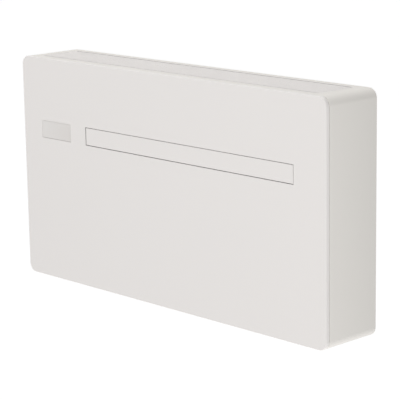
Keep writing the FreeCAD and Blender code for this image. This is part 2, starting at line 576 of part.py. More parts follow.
def make_grille():
    """Lengthwise slats in a rim, flush with the top, over two filters on a pair of rails."""
    x = ("grille_left + fit_gap", "grille_right - fit_gap")
    y = ("grille_front_y + fit_gap", "grille_rear_y - fit_gap")
    z = ("grille_low", "half_height")
    rim_hole = box("grille_rim_hole", (f"{x[0]} + 4", f"{x[1]} - 4"), (f"{y[0]} + 4", f"{y[1]} - 4"),
                   (f"{z[0]} - 1", f"{z[1]} + 1"))
    pieces = [cut("grille_rim", box("grille_block", x, y, z), rim_hole)]
    slats = round((value("grille_front") - value("grille_rear") - 8) / value("slat_pitch"))
    for index in range(1, slats):
        run = "grille_front - grille_rear - 2 * fit_gap - 8"
        low = f"{y[0]} + 4 + ({run}) * {index / slats} - slat_width / 2"
        pieces.append(box(f"slat_{index}", (f"{x[0]} + 3", f"{x[1]} - 3"), (low, f"{low} + slat_width"), z))
    ribs = round((value("grille_right") - value("grille_left")) / 130)
    for index in range(1, ribs):
        low = f"{x[0]} + (grille_right - grille_left) * {index / ribs}"
        pieces.append(box(f"grille_rib_{index}", (low, f"{low} + 2"), (f"{y[0]} + 3", f"{y[1]} - 3"),
                          (z[0], f"{z[0]} + grille_depth * 0.5")))
    node("top_grille", join("top_grille_join", *pieces))
    frames = []
    meshes = []
    for name, low, high in (("left", x[0], "-1 * fit_gap"), ("right", "fit_gap", x[1])):
        depth = ("filter_low", "filter_low + filter_depth")
        block = box(f"filter_block_{name}", (low, high), y, depth)
        inner = box(f"filter_window_{name}", (f"{low} + filter_bar", f"{high} - filter_bar"),
                    (f"{y[0]} + filter_bar", f"{y[1]} - filter_bar"),
                    ("filter_low - 1", "filter_low + filter_depth + 1"))
        frame = cut(f"filter_ring_{name}", block, inner)
        bars = [box(f"filter_bar_{name}_{index}", (f"({low}) + (({high}) - ({low})) * {share} - 1.5",
                                                   f"({low}) + (({high}) - ({low})) * {share} + 1.5"),
                    (f"{y[0]} + 1", f"{y[1]} - 1"), ("filter_low + filter_mesh_depth",
                                                     "filter_low + filter_depth"))
                for index, share in enumerate((0.25, 0.5, 0.75))]
        frames.append(join(f"filter_frame_{name}", frame, *bars))
        meshes.append(box(f"filter_mesh_{name}", (f"{low} + filter_bar", f"{high} - filter_bar"),
                          (f"{y[0]} + filter_bar", f"{y[1]} - filter_bar"),
                          ("filter_low", "filter_low + filter_mesh_depth")))
    node("filter_frames", group("filter_frames_group", *frames))
    node("filter_meshes", group("filter_meshes_group", *meshes))
    rails = []
    for name, side, edge in (("front", -1, "grille_front_y"), ("rear", 1, "grille_rear_y")):
        ledge = [f"{edge} + {side} * 2.5", f"{edge} - {side} * 4.5"]
        web = [f"{edge} + {side} * 2.5", f"{edge} + {side} * (2.5 - rail_sheet)"]
        base = ("filter_low - fit_gap - rail_sheet", "filter_low - fit_gap")
        shelf = box(f"rail_shelf_{name}", ("grille_left", "grille_right"), tuple(ledge[::-side]), base)
        wall = box(f"rail_wall_{name}", ("grille_left", "grille_right"), tuple(web[::-side]),
                   (base[0], "inner_high"))
        rails.append(join(f"rail_{name}", shelf, wall))
    node("grille_rails", group("grille_rails_group", *rails))


# ---- chassis, bracket, ducts and base ----------------------------------------------------------

def make_rear_chassis():
    """The pressed rear sheet with a flange all round, duct holes and windows for the wall hooks."""
    body = doc.addObject("PartDesign::Body", "rear_chassis_body")
    sheet = sketch_on(body, "chassis_sheet_outline", "XZ_Plane", "wall_gap")
    draw_rounded(sheet, "chassis_left", "chassis_right", "chassis_low", "chassis_high", "case_corner",
                 "chassis_bend")
    feature(body, "Pad", sheet, "chassis_flange")
    hollow = sketch_on(body, "chassis_hollow", "XZ_Plane", "-chassis_front")
    draw_rounded(hollow, "flange_left", "flange_right", "flange_low", "flange_high", "case_corner",
                 "flange_bend")
    feature(body, "Pocket", hollow, "chassis_flange", True)
    holes = sketch_on(body, "chassis_holes", "XZ_Plane", "-chassis_front")
    draw_circle(holes, "duct_x", "duct_z", "duct_bore", "duct_wall")
    draw_circle(holes, "duct_left_x", "duct_z", "duct_bore", "duct_wall")
    for letter in HOOK_SPOTS:
        draw_rectangle(holes, f"window_{letter}_left", f"window_{letter}_right", "window_low",
                       "window_high")
    feature(body, "Pocket", holes, "chassis_sheet + 1")
    node("rear_chassis", body)


def make_wall_parts():
    """The hooked plate that is screwed to the wall first, and the foam pad below it."""
    plate = box("bracket_plate", ("-bracket_half", "bracket_half"), ("-bracket_sheet", "0"),
                ("bracket_low", "bracket_high"))
    hooks = []
    for letter in HOOK_SPOTS:
        x = (f"hook_{letter}_left", f"hook_{letter}_right")
        hooks.append(box(f"hook_arm_{letter}", x, ("chassis_front - 3", "-bracket_sheet"),
                         ("hook_low", "hook_low + 3")))
        hooks.append(box(f"hook_tip_{letter}", x, ("chassis_front - 3", "chassis_front - 1"),
                         ("hook_low", "hook_high - 6")))
    holes = [rod(f"bracket_hole_{index}", "y", f"{side} * bracket_hole_half", ("-bracket_sheet - 1", "1"),
                 f"bracket_middle + {rise} * bracket_hole_rise / 2", "bracket_hole")
             for index, (side, rise) in enumerate(((-1, -1), (1, -1), (-1, 1), (1, 1)))]
    node("wall_bracket", cut("wall_bracket_cut", join("wall_bracket_join", plate, *hooks), *holes))
    pad = box("seal_pad", ("-seal_half", "seal_half"), ("-wall_gap", "0"), ("seal_low", "seal_high"))
    bores = [rod(f"seal_hole_{index}", "y", f"{side} * duct_x", ("-wall_gap - 1", "1"), "duct_z",
                 "duct_bore + duct_wall + 4") for index, side in enumerate((-1, 1))]
    node("wall_seal", cut("wall_seal_cut", pad, *bores))
    collars = []
    for index, side in enumerate((-1, 1)):
        x, span = f"{side} * duct_x", ("-wall_gap + 4 - duct_length", "-wall_gap + 4")
        tube = rod(f"collar_tube_{index}", "y", x, span, "duct_z", "duct_bore + duct_wall")
        rim = rod(f"collar_rim_{index}", "y", x, ("chassis_front - 3", "chassis_front"), "duct_z",
                  "duct_bore + duct_wall + 6")
        bore = rod(f"collar_bore_{index}", "y", x, (f"{span[0]} - 1", f"{span[1]} + 1"), "duct_z",
                   "duct_bore")
        collars.append(cut(f"collar_{index}", join(f"collar_join_{index}", tube, rim), bore))
    node("duct_collars", group("duct_collars_group", *collars))


def make_base():
    """Drip pan, insulated floor of the upper half, compressor wall, drain spout and cable gland."""
    pan = box("pan_block", ("pan_left", "pan_right"), ("pan_front", "pan_rear"),
              ("pan_floor", "pan_floor + pan_wall"))
    hollow = box("pan_hollow", ("pan_left + pan_sheet", "pan_right - pan_sheet"),
                 ("pan_front + pan_sheet", "pan_rear - pan_sheet"), ("pan_top", "pan_floor + pan_wall + 1"))
    drain = rod("pan_drain_hole", "z", "drain_x", "drain_y", ("pan_floor - 1", "pan_top + 1"),
                "drain_radius - 2")
    gland = rod("pan_gland_hole", "z", "gland_x", "gland_y", ("pan_floor - 1", "pan_top + 1"),
                "gland_radius + fit_gap")
    node("base_pan", cut("base_pan_cut", pan, hollow, drain, gland))
    spout = rod("spout_tube", "z", "drain_x", "drain_y", ("case_low + fit_gap", "pan_floor"),
                "drain_radius")
    flange = rod("spout_flange", "z", "drain_x", "drain_y", ("pan_floor - 3", "pan_floor"),
                 "drain_radius + 3")
    bore = rod("spout_bore", "z", "drain_x", "drain_y", ("case_low - 1", "pan_floor + 1"),
               "drain_radius - 2")
    node("drain_spout", cut("drain_spout_cut", join("drain_spout_join", spout, flange), bore))
    body = rod("gland_body", "z", "gland_x", "gland_y", ("case_low + fit_gap", "pan_top + 6"),
               "gland_radius")
    nut = rod("gland_nut", "z", "gland_x", "gland_y", ("pan_top", "pan_top + 5"), "gland_radius + 3")
    way = rod("gland_bore", "z", "gland_x", "gland_y", ("case_low - 1", "pan_top + 7"),
              "gland_radius * 0.5")
    node("cable_gland", cut("cable_gland_cut", join("cable_gland_join", body, nut), way))
    deck = box("bulkhead_sheet_block", ("flange_left + fit_gap", "flange_right - fit_gap"),
               ("pan_front", "pan_rear"),
               ("bulkhead_low", "bulkhead_high"))
    ways = [rod(f"bulkhead_way_{index}", "z", x, y, ("bulkhead_low - 1", "bulkhead_high + 1"), radius)
            for index, (x, y, radius) in enumerate((("hose_x", "hose_y", "hose_radius + fit_gap"),
                                                    ("riser_x", "riser_y", "pipe_radius + 4"),
                                                    ("liquid_x", "riser_y", "pipe_radius + 3")))]
    node("bulkhead", cut("bulkhead_cut", deck, *ways))
    wall = box("partition_sheet", ("partition_x", "partition_x + case_sheet"),
               ("pan_front + 3", "pan_rear - 3"),
               ("pan_top + fit_gap", "bulkhead_low - fit_gap"))
    notch = box("partition_way", ("partition_x - 1", "partition_x + case_sheet + 1"),
                ("cross_y - 8", "cross_y + 8"),
                ("pan_top - 1", "hot_z + 8"))
    node("compressor_partition", cut("partition_cut", wall, notch))


# ---- indoor fan --------------------------------------------------------------------------------

def spiral(start, gap, growth, first, last, steps):
    """(radius, angle) pairs of a scroll that opens evenly as it goes round."""
    return [(start + gap + growth * step / steps, math.radians(first + (last - first) * step / steps))
            for step in range(steps + 1)]


def make_air_path():
    """Rear guide wall, vortex tongue and the two end plates round the long rotor."""
    y, z, radius, wall = value("rotor_y"), value("rotor_z"), value("rotor_radius"), value("scroll_wall")
    left, right = value("outlet_left"), value("outlet_right")
    turn = spiral(radius, value("scroll_gap"), value("scroll_growth"), 50, -95, 16)
    inner = [(y + r * math.cos(a), z + r * math.sin(a)) for r, a in turn]
    outer = [(y + (r + wall) * math.cos(a), z + (r + wall) * math.sin(a)) for r, a in turn]
    mouth = -value("frame_rear")
    inner.append((mouth, value("outlet_low")))
    outer.append((mouth, value("outlet_low") - value("frame_wall")))
    node("fan_scroll", solid("fan_scroll_solid", prism_x(inner + outer[::-1], left, right)))
    near, far = radius + value("scroll_gap"), radius + value("scroll_gap") + 3
    arc = [math.radians(125 + 59 * step / 8) for step in range(9)]
    tongue = [(y + near * math.cos(a), z + near * math.sin(a)) for a in arc]
    back = [(y + far * math.cos(a), z + far * math.sin(a)) for a in arc]
    top = value("outlet_high") + value("frame_wall")
    shelf_front, shelf_rear = mouth - 12, y - near + 1
    shelf = Part.makeBox(right - left, shelf_rear - shelf_front, 2.5, Vector(left, shelf_front, top))
    node("vortex_tongue", solid("vortex_tongue_solid", prism_x(tongue + back[::-1], left,
                                                               right).fuse(shelf).removeSplitter()))
    plates = []
    for name, low, high in (("left", "outlet_left - end_plate", "outlet_left"),
                            ("right", "outlet_right", "outlet_right + end_plate")):
        sheet = box(f"end_plate_{name}", (low, high), ("fit_gap - frame_rear", "tray_front - 1"),
                    ("bulkhead_high", "rotor_z + rotor_radius - 8"))
        hole = rod(f"end_plate_hole_{name}", "x", (f"{low} - 1", f"{high} + 1"), "rotor_y", "rotor_z",
                   "shaft_radius + 8")
        plates.append(cut(f"end_plate_cut_{name}", sheet, hole))
    node("fan_end_plates", group("fan_end_plates_group", *plates))


def make_crossflow_rotor():
    """A cage of curved blades on discs, its two stub shafts, the far bearing and the motor."""
    y, z, radius, disc = value("rotor_y"), value("rotor_z"), value("rotor_radius"), value("rotor_disc")
    left, right = value("rotor_left"), value("rotor_right")
    discs = 4
    step = (right - left - disc) / (discs - 1)
    pieces = [Part.makeCylinder(radius, disc, Vector(left + step * index, y, z), Vector(1, 0, 0))
              for index in range(discs)]
    blades = 28
    for index in range(blades):
        angle = 2 * math.pi * index / blades
        ring = []
        for share in (0, 0.5, 1):
            reach, swing = radius - 0.6 - 11 * share, angle + 0.16 * math.sin(math.pi * share / 2) * 2
            ring.append((y + reach * math.cos(swing), z + reach * math.sin(swing)))
        thick = [(a + 0.9 * math.cos(angle + 1.2), b + 0.9 * math.sin(angle + 1.2)) for a, b in ring]
        pieces.append(prism_x(ring + thick[::-1], left, right))
    cage = pieces[0].multiFuse(pieces[1:])
    hub = value("shaft_radius")
    length = 20
    bores = [Part.makeCylinder(hub, disc, Vector(left, y, z), Vector(1, 0, 0)),
             Part.makeCylinder(hub, disc, Vector(right - disc, y, z), Vector(1, 0, 0))]
    node("crossflow_fan", solid("crossflow_fan_solid", cage.cut(bores)))
    shafts = [rod("shaft_left", "x", ("fan_motor_right - 30", "rotor_left + rotor_disc"), "rotor_y",
                  "rotor_z", "shaft_radius"),
              rod("shaft_right", "x", ("rotor_right - rotor_disc", "outlet_right + end_plate + 12"),
                  "rotor_y", "rotor_z", "shaft_radius")]
    node("crossflow_shafts", group("crossflow_shafts_group", *shafts))
    ring = rod("bearing_ring", "x", ("outlet_right", "outlet_right + end_plate + 10"), "rotor_y",
               "rotor_z", "shaft_radius + 8")
    bore = rod("bearing_bore", "x", ("outlet_right - 1", "outlet_right + end_plate + 11"), "rotor_y",
               "rotor_z", "shaft_radius + running_gap")
    node("crossflow_bearing", cut("bearing_cut", ring, bore))
    can = rod("fan_motor_can", "x", ("fan_motor_left", "fan_motor_right"), "rotor_y", "rotor_z",
              "fan_motor_radius")
    nose = rod("fan_motor_nose", "x", ("fan_motor_right", "fan_motor_right + 6"), "rotor_y", "rotor_z",
               "fan_motor_radius * 0.4")
    hole = rod("fan_motor_bore", "x", ("fan_motor_right - 31", "fan_motor_right + 7"), "rotor_y",
               "rotor_z", "shaft_radius + running_gap")
    node("crossflow_motor", cut("fan_motor_cut", join("fan_motor_join", can, nose), hole))
    span = ("fan_motor_left + 14", "fan_motor_right - 14")
    strap = rod("clamp_ring", "x", span, "rotor_y", "rotor_z", "fan_motor_radius + 3")
    foot = box("clamp_foot", span, ("rotor_y - 26", "rotor_y + 26"), ("bulkhead_high", "rotor_z"))
    seat = rod("clamp_seat", "x", (f"{span[0]} - 1", f"{span[1]} + 1"), "rotor_y", "rotor_z",
               "fan_motor_radius")
    node("crossflow_motor_clamp", cut("clamp_cut", join("clamp_join", strap, foot), seat))


# ---- coils -------------------------------------------------------------------------------------

def coil(long_axis, fins, plates, tubes, first_bend_high):
    """Fin block, end plates and hairpin tubes of a coil whose tubes run along its own Z."""
    low, high = fins
    radius, gap = value("tube_radius"), value("tube_gap")
    width, depth = long_axis
    block = Part.makeBox(width, depth, high - low, Vector(-width / 2, -depth / 2, low))
    ends = [Part.makeBox(width, depth, plates, Vector(-width / 2, -depth / 2, low - plates)),
            Part.makeBox(width, depth, plates, Vector(-width / 2, -depth / 2, high))]
    holes = [Part.makeCylinder(radius + gap, high - low + 2 * plates, Vector(x, y, low - plates)) for x,
             y in tubes]
    bars = [Part.makeCylinder(radius, high - low + 2 * plates, Vector(x, y, low - plates)) for x,
            y in tubes]
    bends = []
    for index in range(len(tubes) - 1):
        (x0, y0), (x1, y1) = tubes[index], tubes[index + 1]
        top = (index % 2 == 0) == first_bend_high
        level = high + plates if top else low - plates
        middle = Vector((x0 + x1) / 2, (y0 + y1) / 2, level)
        half = math.hypot(x1 - x0, y1 - y0) / 2
        rise = Vector(0, 0, half if top else -half)
        arc = Part.Arc(Vector(x0, y0, level), middle + rise, Vector(x1, y1, level)).toShape()
        ring = Part.Wire(Part.makeCircle(radius, Vector(x0, y0, level), Vector(0, 0, 1)))
        bends.append(Part.Wire(arc).makePipeShell([ring], True, True))
    run = bars[0].multiFuse(bars[1:] + bends)
    return block.cut(holes), [end.cut(holes) for end in ends], run


def evaporator_tubes():
    """Places of the tilted coil's tubes across its own section, in the order the refrigerant takes."""
    pitch, row = value("evap_pitch"), value("evap_row_pitch")
    tubes = []
    for layer in range(3):
        line = [((layer - 1) * row, (index - 3.5) * pitch) for index in range(8)]
        tubes += line if layer % 2 == 0 else line[::-1]
    return tubes


def evaporator_spot():
    """Lays a coil built along Z down along X, tilts it and carries it to its place."""
    lie = Rotation(Vector(0, 1, 0), 90)
    tilt = Rotation(Vector(1, 0, 0), -value("evap_tilt"))
    return Placement(Vector(0, value("evap_y"), value("evap_z")), tilt.multiply(lie))


def evaporator_ends():
    """The two open tube ends on the right, where the pipes meet the coil."""
    tubes, spot = evaporator_tubes(), evaporator_spot()
    level = value("outlet_right") + value("coil_plate")
    return [spot.multVec(Vector(x, y, level)) for x, y in (tubes[0], tubes[-1])]


def make_evaporator():
    """The tilted coil under the grille: tubes along X in three rows."""
    spot = evaporator_spot()
    section = (3 * value("evap_row_pitch"), 8 * value("evap_pitch"))
    span = (value("outlet_left"), value("outlet_right"))
    block, ends, run = coil(section, span, value("coil_plate"), evaporator_tubes(), False)
    node("evaporator_fins", solid("evaporator_fins_solid", block, spot))
    node("evaporator_end_plates", solid("evaporator_ends_solid", Part.makeCompound(ends), spot))
    node("evaporator_tubes", solid("evaporator_tubes_solid", run, spot))


def make_condenser():
    """The upright coil between the two ducts: tubes along Z in two rows."""
    pitch, row = value("cond_pitch"), value("cond_row_pitch")
    line = [(index - 2.5) * pitch for index in range(6)]
    tubes = [(-row / 2, y) for y in line] + [(row / 2, y) for y in line[::-1]]
    block, ends, run = coil((2 * row, 6 * pitch), (value("cond_low"), value("cond_high")),
                            value("coil_plate"), tubes, True)
    spot = Placement(Vector(0, (value("pan_front") + value("pan_rear")) / 2, 0), Rotation())
    node("condenser_fins", solid("condenser_fins_solid", block, spot))
    node("condenser_end_plates", solid("condenser_ends_solid", Part.makeCompound(ends), spot))
    node("condenser_tubes", solid("condenser_tubes_solid", run, spot))


def make_condensate_parts():
    """The gutter under the coil's low edge and its hose to the drip pan."""
    x, y = ("outlet_left", "outlet_right + 4"), ("tray_front", "chassis_front - 1.5")
    block = box("tray_block", x, y, ("tray_low", "tray_low + tray_depth"))
    hollow = box("tray_hollow", ("outlet_left + tray_sheet", "outlet_right + 4 - tray_sheet"),
                 ("tray_front + tray_sheet", "chassis_front - 1.5 - tray_sheet"),
                 ("tray_low + tray_sheet", "tray_low + tray_depth + 1"))
    hole = rod("tray_hole", "z", "hose_x", "hose_y", ("tray_low - 1", "tray_low + 3"), "hose_radius - 2")
    node("condensate_tray", cut("tray_cut", block, hollow, hole))
    tube = rod("hose_tube", "z", "hose_x", "hose_y", ("pan_top + 4", "tray_low"), "hose_radius")
    bore = rod("hose_bore", "z", "hose_x", "hose_y", ("pan_top + 3", "tray_low + 1"), "hose_radius - 2")
    node("condensate_hose", cut("hose_cut", tube, bore))


# ---- outdoor fan -------------------------------------------------------------------------------

def make_outdoor_fan():
    """A wheel that draws air in through the left duct, its scroll, motor and the motor's bridge."""
    x, z, radius = -value("duct_x"), value("duct_z"), value("wheel_radius")
    rear, front, wall = -value("housing_rear"), value("housing_front"), value("housing_wall")
    turn = spiral(radius, value("wheel_gap"), value("wheel_growth"), 35, -270, 30)
    mouth = -value("cond_row_pitch") - 6
    line = [Vector(x + r * math.cos(a), rear, z + r * math.sin(a)) for r, a in turn]
    roof = line[-1].z
    inner = [Vector(mouth, rear, line[0].z)] + line + [Vector(mouth, rear, roof)]
    outer = [Vector(x + (r + wall) * math.cos(a), rear, z + (r + wall) * math.sin(a)) for r, a in turn]
    outer = [Vector(mouth, rear, line[0].z - wall)] + outer[1:] + [Vector(mouth, rear, roof + wall)]
    band = Part.Face(Part.makePolygon(inner + outer[::-1] + inner[:1])).extrude(Vector(0, front - rear, 0))
    plan = Part.Face(Part.makePolygon(outer + outer[:1]))
    plates = [plan.extrude(Vector(0, -wall, 0)), plan.extrude(Vector(0, wall, 0)).translated(Vector(0,
        front - rear, 0))]
    inlet = Part.makeCylinder(value("wheel_inlet"), wall, Vector(x, rear - wall, z), Vector(0, 1, 0))
    shaft_way = Part.makeCylinder(value("shaft_radius") + 8, wall, Vector(x, front, z), Vector(0, 1, 0))
    housing = band.multiFuse([plates[0].cut(inlet), plates[1].cut(shaft_way)])
    node("outdoor_scroll", solid("outdoor_scroll_solid", housing.removeSplitter()))
    low = -value("wheel_inset") - value("wheel_depth")
    back = Part.makeCylinder(radius, 2.5, Vector(x, low, z), Vector(0, 1, 0))
    shroud = Part.makeCylinder(radius, 2.5, Vector(x, low + value("wheel_depth") - 2.5, z), Vector(0, 1, 0))
    shroud = shroud.cut(Part.makeCylinder(radius - 16, 2.5, Vector(x, low + value("wheel_depth") - 2.5, z),
                                          Vector(0, 1, 0)))
    boss = Part.makeCylinder(12, 16, Vector(x, low, z), Vector(0, 1, 0))
    pieces = [shroud, boss]
    blades = 30
    for index in range(blades):
        angle = 2 * math.pi * index / blades
        ring = [Vector(x + r * math.cos(angle + s), low, z + r * math.sin(angle + s))
                for r, s in ((radius - 0.8, 0), (radius - 7, -0.05), (radius - 14, -0.02))]
        thick = [point + Vector(1.4 * math.cos(angle + 1.5), 0, 1.4 * math.sin(angle + 1.5))
                 for point in ring]
        face = Part.Face(Part.makePolygon(ring + thick[::-1] + ring[:1]))
        pieces.append(face.extrude(Vector(0, value("wheel_depth"), 0)))
    bore = Part.makeCylinder(value("shaft_radius"), 16, Vector(x, low, z), Vector(0, 1, 0))
    node("radial_fan", solid("radial_fan_solid", back.multiFuse(pieces).cut(bore)))
    span = ("housing_front - wheel_motor_length", "housing_front - 3")
    node("radial_fan_shaft", rod("wheel_shaft", "y", "-duct_x",
                                 ("housing_front - 25", "-wheel_inset - wheel_depth + 16"),
                                 "duct_z", "shaft_radius"))
    can = rod("wheel_motor_can", "y", "-duct_x", span, "duct_z", "wheel_motor_radius")
    hole = rod("wheel_motor_bore", "y", "-duct_x", ("housing_front - 26", "housing_front + 1"), "duct_z",
               "shaft_radius + running_gap")
    node("radial_fan_motor", cut("wheel_motor_cut", can, hole))
    bridge = box("bridge_plate", ("-duct_x - 88", "80 - duct_x"), ("housing_front - 3", "housing_front"),
                 ("duct_z - 16", "duct_z + 16"))
    way = rod("bridge_hole", "y", "-duct_x", ("housing_front - 4", "housing_front + 1"), "duct_z",
              "shaft_radius + 8")
    node("radial_fan_bridge", cut("bridge_cut", bridge, way))


# ---- refrigerant circuit -----------------------------------------------------------------------

def route(points, radius):
    """A pipe's middle line: straight runs joined by arcs as large as its bends allow."""
    edges = []
    last = points[0]
    for before, corner, after in zip(points, points[1:], points[2:]):
        to_before, to_after = (before - corner).normalize(), (after - corner).normalize()
        half = to_before.getAngle(to_after) / 2
        setback = min(2.5 * radius / math.tan(half), 0.45 * min((before - corner).Length,
                                                                (after - corner).Length))
        bend = setback * math.tan(half)
        start, end = corner + to_before * setback, corner + to_after * setback
        inward = (to_before + to_after).normalize()
        middle = corner + inward * (bend / math.sin(half) - bend)
        edges.append(Part.LineSegment(last, start).toShape())
        edges.append(Part.Arc(start, middle, end).toShape())
        last = end
    edges.append(Part.LineSegment(last, points[-1]).toShape())
    return Part.Wire(edges)


def pipe(points, radius):
    """A round pipe along a route."""
    path = route(points, radius)
    ring = Part.Wire(Part.makeCircle(radius, points[0], points[1] - points[0]))
    return path.makePipeShell([ring], True, True)


def make_compressor():
    """The sealed shell with domed ends on three rubber feet, with its suction pot beside it."""
    x, y, low = value("shell_x"), value("shell_y"), value("shell_low")
    radius, height, wall = value("shell_radius"), value("shell_height"), value("shell_wall")

    def capsule(shrink):
        can = Part.makeCylinder(radius - shrink, height - 2 * shrink, Vector(x, y, low + shrink))
        rims = [edge for edge in can.Edges if edge.Curve.TypeId == "Part::GeomCircle"]
        return can.makeFillet(radius * 0.45 - shrink * 0.5, rims)

    port = Part.makeCylinder(value("pipe_radius") * 0.5, 2 * wall, Vector(x, y, low + height - 2 * wall))
    shell = capsule(0).cut([capsule(wall), port])
    node("compressor", solid("compressor_solid", shell))
    feet = []
    for index in range(3):
        angle = math.radians(90 + 120 * index)
        spot = Vector(x + (radius - 8) * math.cos(angle), y + (radius - 8) * math.sin(angle),
                      value("pan_top"))
        feet.append(Part.makeCylinder(9, value("foot_height"), spot))
    node("compressor_feet", solid("compressor_feet_solid", Part.makeCompound([foot.cut(shell)
        for foot in feet])))
    pot_x, pot_y, pot_low = value("pot_x"), value("pot_y"), low + 40
    pot = Part.makeCylinder(20, 120, Vector(pot_x, pot_y, pot_low))
    pot = pot.makeFillet(8, [edge for edge in pot.Edges if edge.Curve.TypeId == "Part::GeomCircle"])
    node("accumulator", solid("accumulator_solid", pot))


def make_circuit():
    """Reversing valve, expansion valve and the copper pipes between compressor and coils."""
    radius, x, y = value("pipe_radius"), value("shell_x"), value("shell_y")
    top = value("shell_low") + value("shell_height")
    pot_x, pot_y, pot_top = value("pot_x"), value("pot_y"), value("shell_low") + 160
    valve_z, valve_y = top + 4, value("cross_y")
    over = valve_z + 28
    body = Part.makeCylinder(11, 74, Vector(x - 34, valve_y, valve_z), Vector(1, 0, 0))
    magnet = Part.makeCylinder(10, 18, Vector(x - 34, valve_y, valve_z - 29), Vector(1, 0, 0))
    post = Part.makeCylinder(4, 18, Vector(x - 25, valve_y, valve_z - 22), Vector(0, 0, 1))
    node("reversing_valve", solid("reversing_valve_solid", body.multiFuse([magnet, post])))
    discharge = pipe([Vector(x, y, top), Vector(x, y, top + 18), Vector(x, y - 34, top + 18),
                      Vector(x, valve_y + 26, valve_z), Vector(x, valve_y + 11, valve_z)], radius * 0.8)
    node("discharge_pipe", solid("discharge_pipe_solid", discharge))
    crest = over + radius + value("tube_radius") + value("pipe_clearance")
    suction = pipe([Vector(x + 3, valve_y, valve_z + 11), Vector(x + 3, valve_y, crest),
                    Vector(pot_x, pot_y, crest), Vector(pot_x, pot_y, pot_top)], radius)
    node("suction_pipe", solid("suction_pipe_solid", suction))
    riser_x, riser_y, liquid_x = value("riser_x"), value("riser_y"), value("liquid_x")
    deck, reach, edge = value("bulkhead_high"), value("cond_row_pitch") / 2, value("partition_x")
    warm, cold = evaporator_ends()
    gas = pipe([Vector(x + 28, valve_y, valve_z + 11), Vector(x + 28, valve_y, over),
                Vector(riser_x, riser_y, over),
                Vector(riser_x, riser_y, deck + 60), Vector(riser_x, warm.y, warm.z), warm], radius)
    tube_end = value("cond_low") - value("coil_plate")
    hot_z, cool_z = value("hot_z"), value("cool_z")
    hot = pipe([Vector(x - 22, valve_y, valve_z + 11), Vector(x - 22, valve_y, over),
                Vector(edge + 12, valve_y, over),
                Vector(edge + 12, valve_y, hot_z), Vector(reach, valve_y, hot_z),
                Vector(reach, valve_y, tube_end)],
               value("tube_radius"))
    cool = pipe([Vector(-reach, valve_y, tube_end), Vector(-reach, valve_y, cool_z),
                 Vector(liquid_x, valve_y, cool_z),
                 Vector(liquid_x, valve_y, deck - 130), Vector(liquid_x, riser_y, deck - 110),
                 Vector(liquid_x, riser_y, deck - 78)], value("tube_radius"))
    liquid = pipe([Vector(liquid_x, riser_y, deck - 40), Vector(liquid_x, riser_y, deck + 40),
                   Vector(liquid_x, cold.y, cold.z), cold], value("tube_radius"))
    node("refrigerant_lines", solid("refrigerant_lines_solid", Part.makeCompound([gas, hot, cool, liquid])))
    stem = Part.makeCylinder(8, 24, Vector(liquid_x, riser_y, deck - 64), Vector(0, 0, 1))
    head = Part.makeCylinder(12, 14, Vector(liquid_x, riser_y, deck - 78), Vector(0, 0, 1))
    node("expansion_valve", solid("expansion_valve_solid", stem.fuse(head)))


# ---- electrical box ----------------------------------------------------------------------------

def make_electrical_box():
    """A sheet box open to the front, its lid, the inverter board in it and the heat sink behind it."""
    x, z = ("box_left", "box_right"), ("box_low", "box_high")
    block = box("box_block", x, ("box_front", "box_rear"), z)
    hollow = box("box_hollow", ("box_left + box_sheet", "box_right - box_sheet"),
                 ("box_front - 1", "box_rear - box_sheet"),
                 ("box_low + box_sheet", "box_high - box_sheet"))
    way = rod("box_cable_hole", "z", "gland_x", "gland_y", ("box_low - 1", "box_low + 3"), "gland_radius")
    node("electrical_box", cut("electrical_box_cut", block, hollow, way))
    lid = box("lid_sheet", x, ("box_front - box_sheet", "box_front"), z)
    skirt = box("lid_skirt", ("box_left + box_sheet + fit_gap", "box_right - box_sheet - fit_gap"),
                ("box_front", "box_front + 6"),
                ("box_low + box_sheet + fit_gap", "box_high - box_sheet - fit_gap"))
    inner = box("lid_hollow", ("box_left + 2 * box_sheet + fit_gap", "box_right - 2 * box_sheet - fit_gap"),
                ("box_front", "box_front + 7"), ("box_low + 2 * box_sheet + fit_gap",
                                                 "box_high - 2 * box_sheet - fit_gap"))
    node("electrical_lid", cut("lid_cut", join("lid_join", lid, skirt), inner))
    face = "box_rear - box_sheet - 8 - board_thickness"
    sheet = box("board_sheet", ("box_left + 10", "box_right - 10"), (face, f"{face} + board_thickness"),
                ("box_low + 10", "box_high - 10"))
    parts = [sheet]
    for index in range(3):
        parts.append(rod(f"capacitor_{index}", "y", f"box_left + {40 + 34 * index}",
                         (f"{face} - 42", face), "box_high - 44", "15"))
    blocks = ((26, 66, 70, 110, 34), (84, 128, 66, 116, 26), (140, 186, 60, 100, 18),
              (26, 60, 128, 176, 22), (74, 110, 134, 150, 8),
              (74, 110, 160, 176, 8), (130, 186, 124, 160, 12), (26, 96, 206, 232, 16),
              (120, 182, 200, 226, 14))
    for index, (left, right, low, high, rise) in enumerate(blocks):
        parts.append(box(f"board_block_{index}", (f"box_left + {left}", f"box_left + {right}"),
                         (f"{face} - {rise}", face),
                         (f"box_high - {high}", f"box_high - {low}")))
    node("inverter_board", group("inverter_board_group", *parts))
    base = box("sink_base", ("box_left + 40", "box_right - 40"), ("box_rear", "box_rear + 4"),
               ("box_high - 150", "box_high - 40"))
    fins = [base]
    count = 12
    for index in range(count):
        left = f"box_left + 40 + (box_width - 80 - 2) * {index / (count - 1)}"
        fins.append(box(f"sink_fin_{index}", (left, f"{left} + 2"), ("box_rear + 3", "box_rear + 26"),
                        ("box_high - 150", "box_high - 40")))
    node("heat_sink", join("heat_sink_join", *fins))


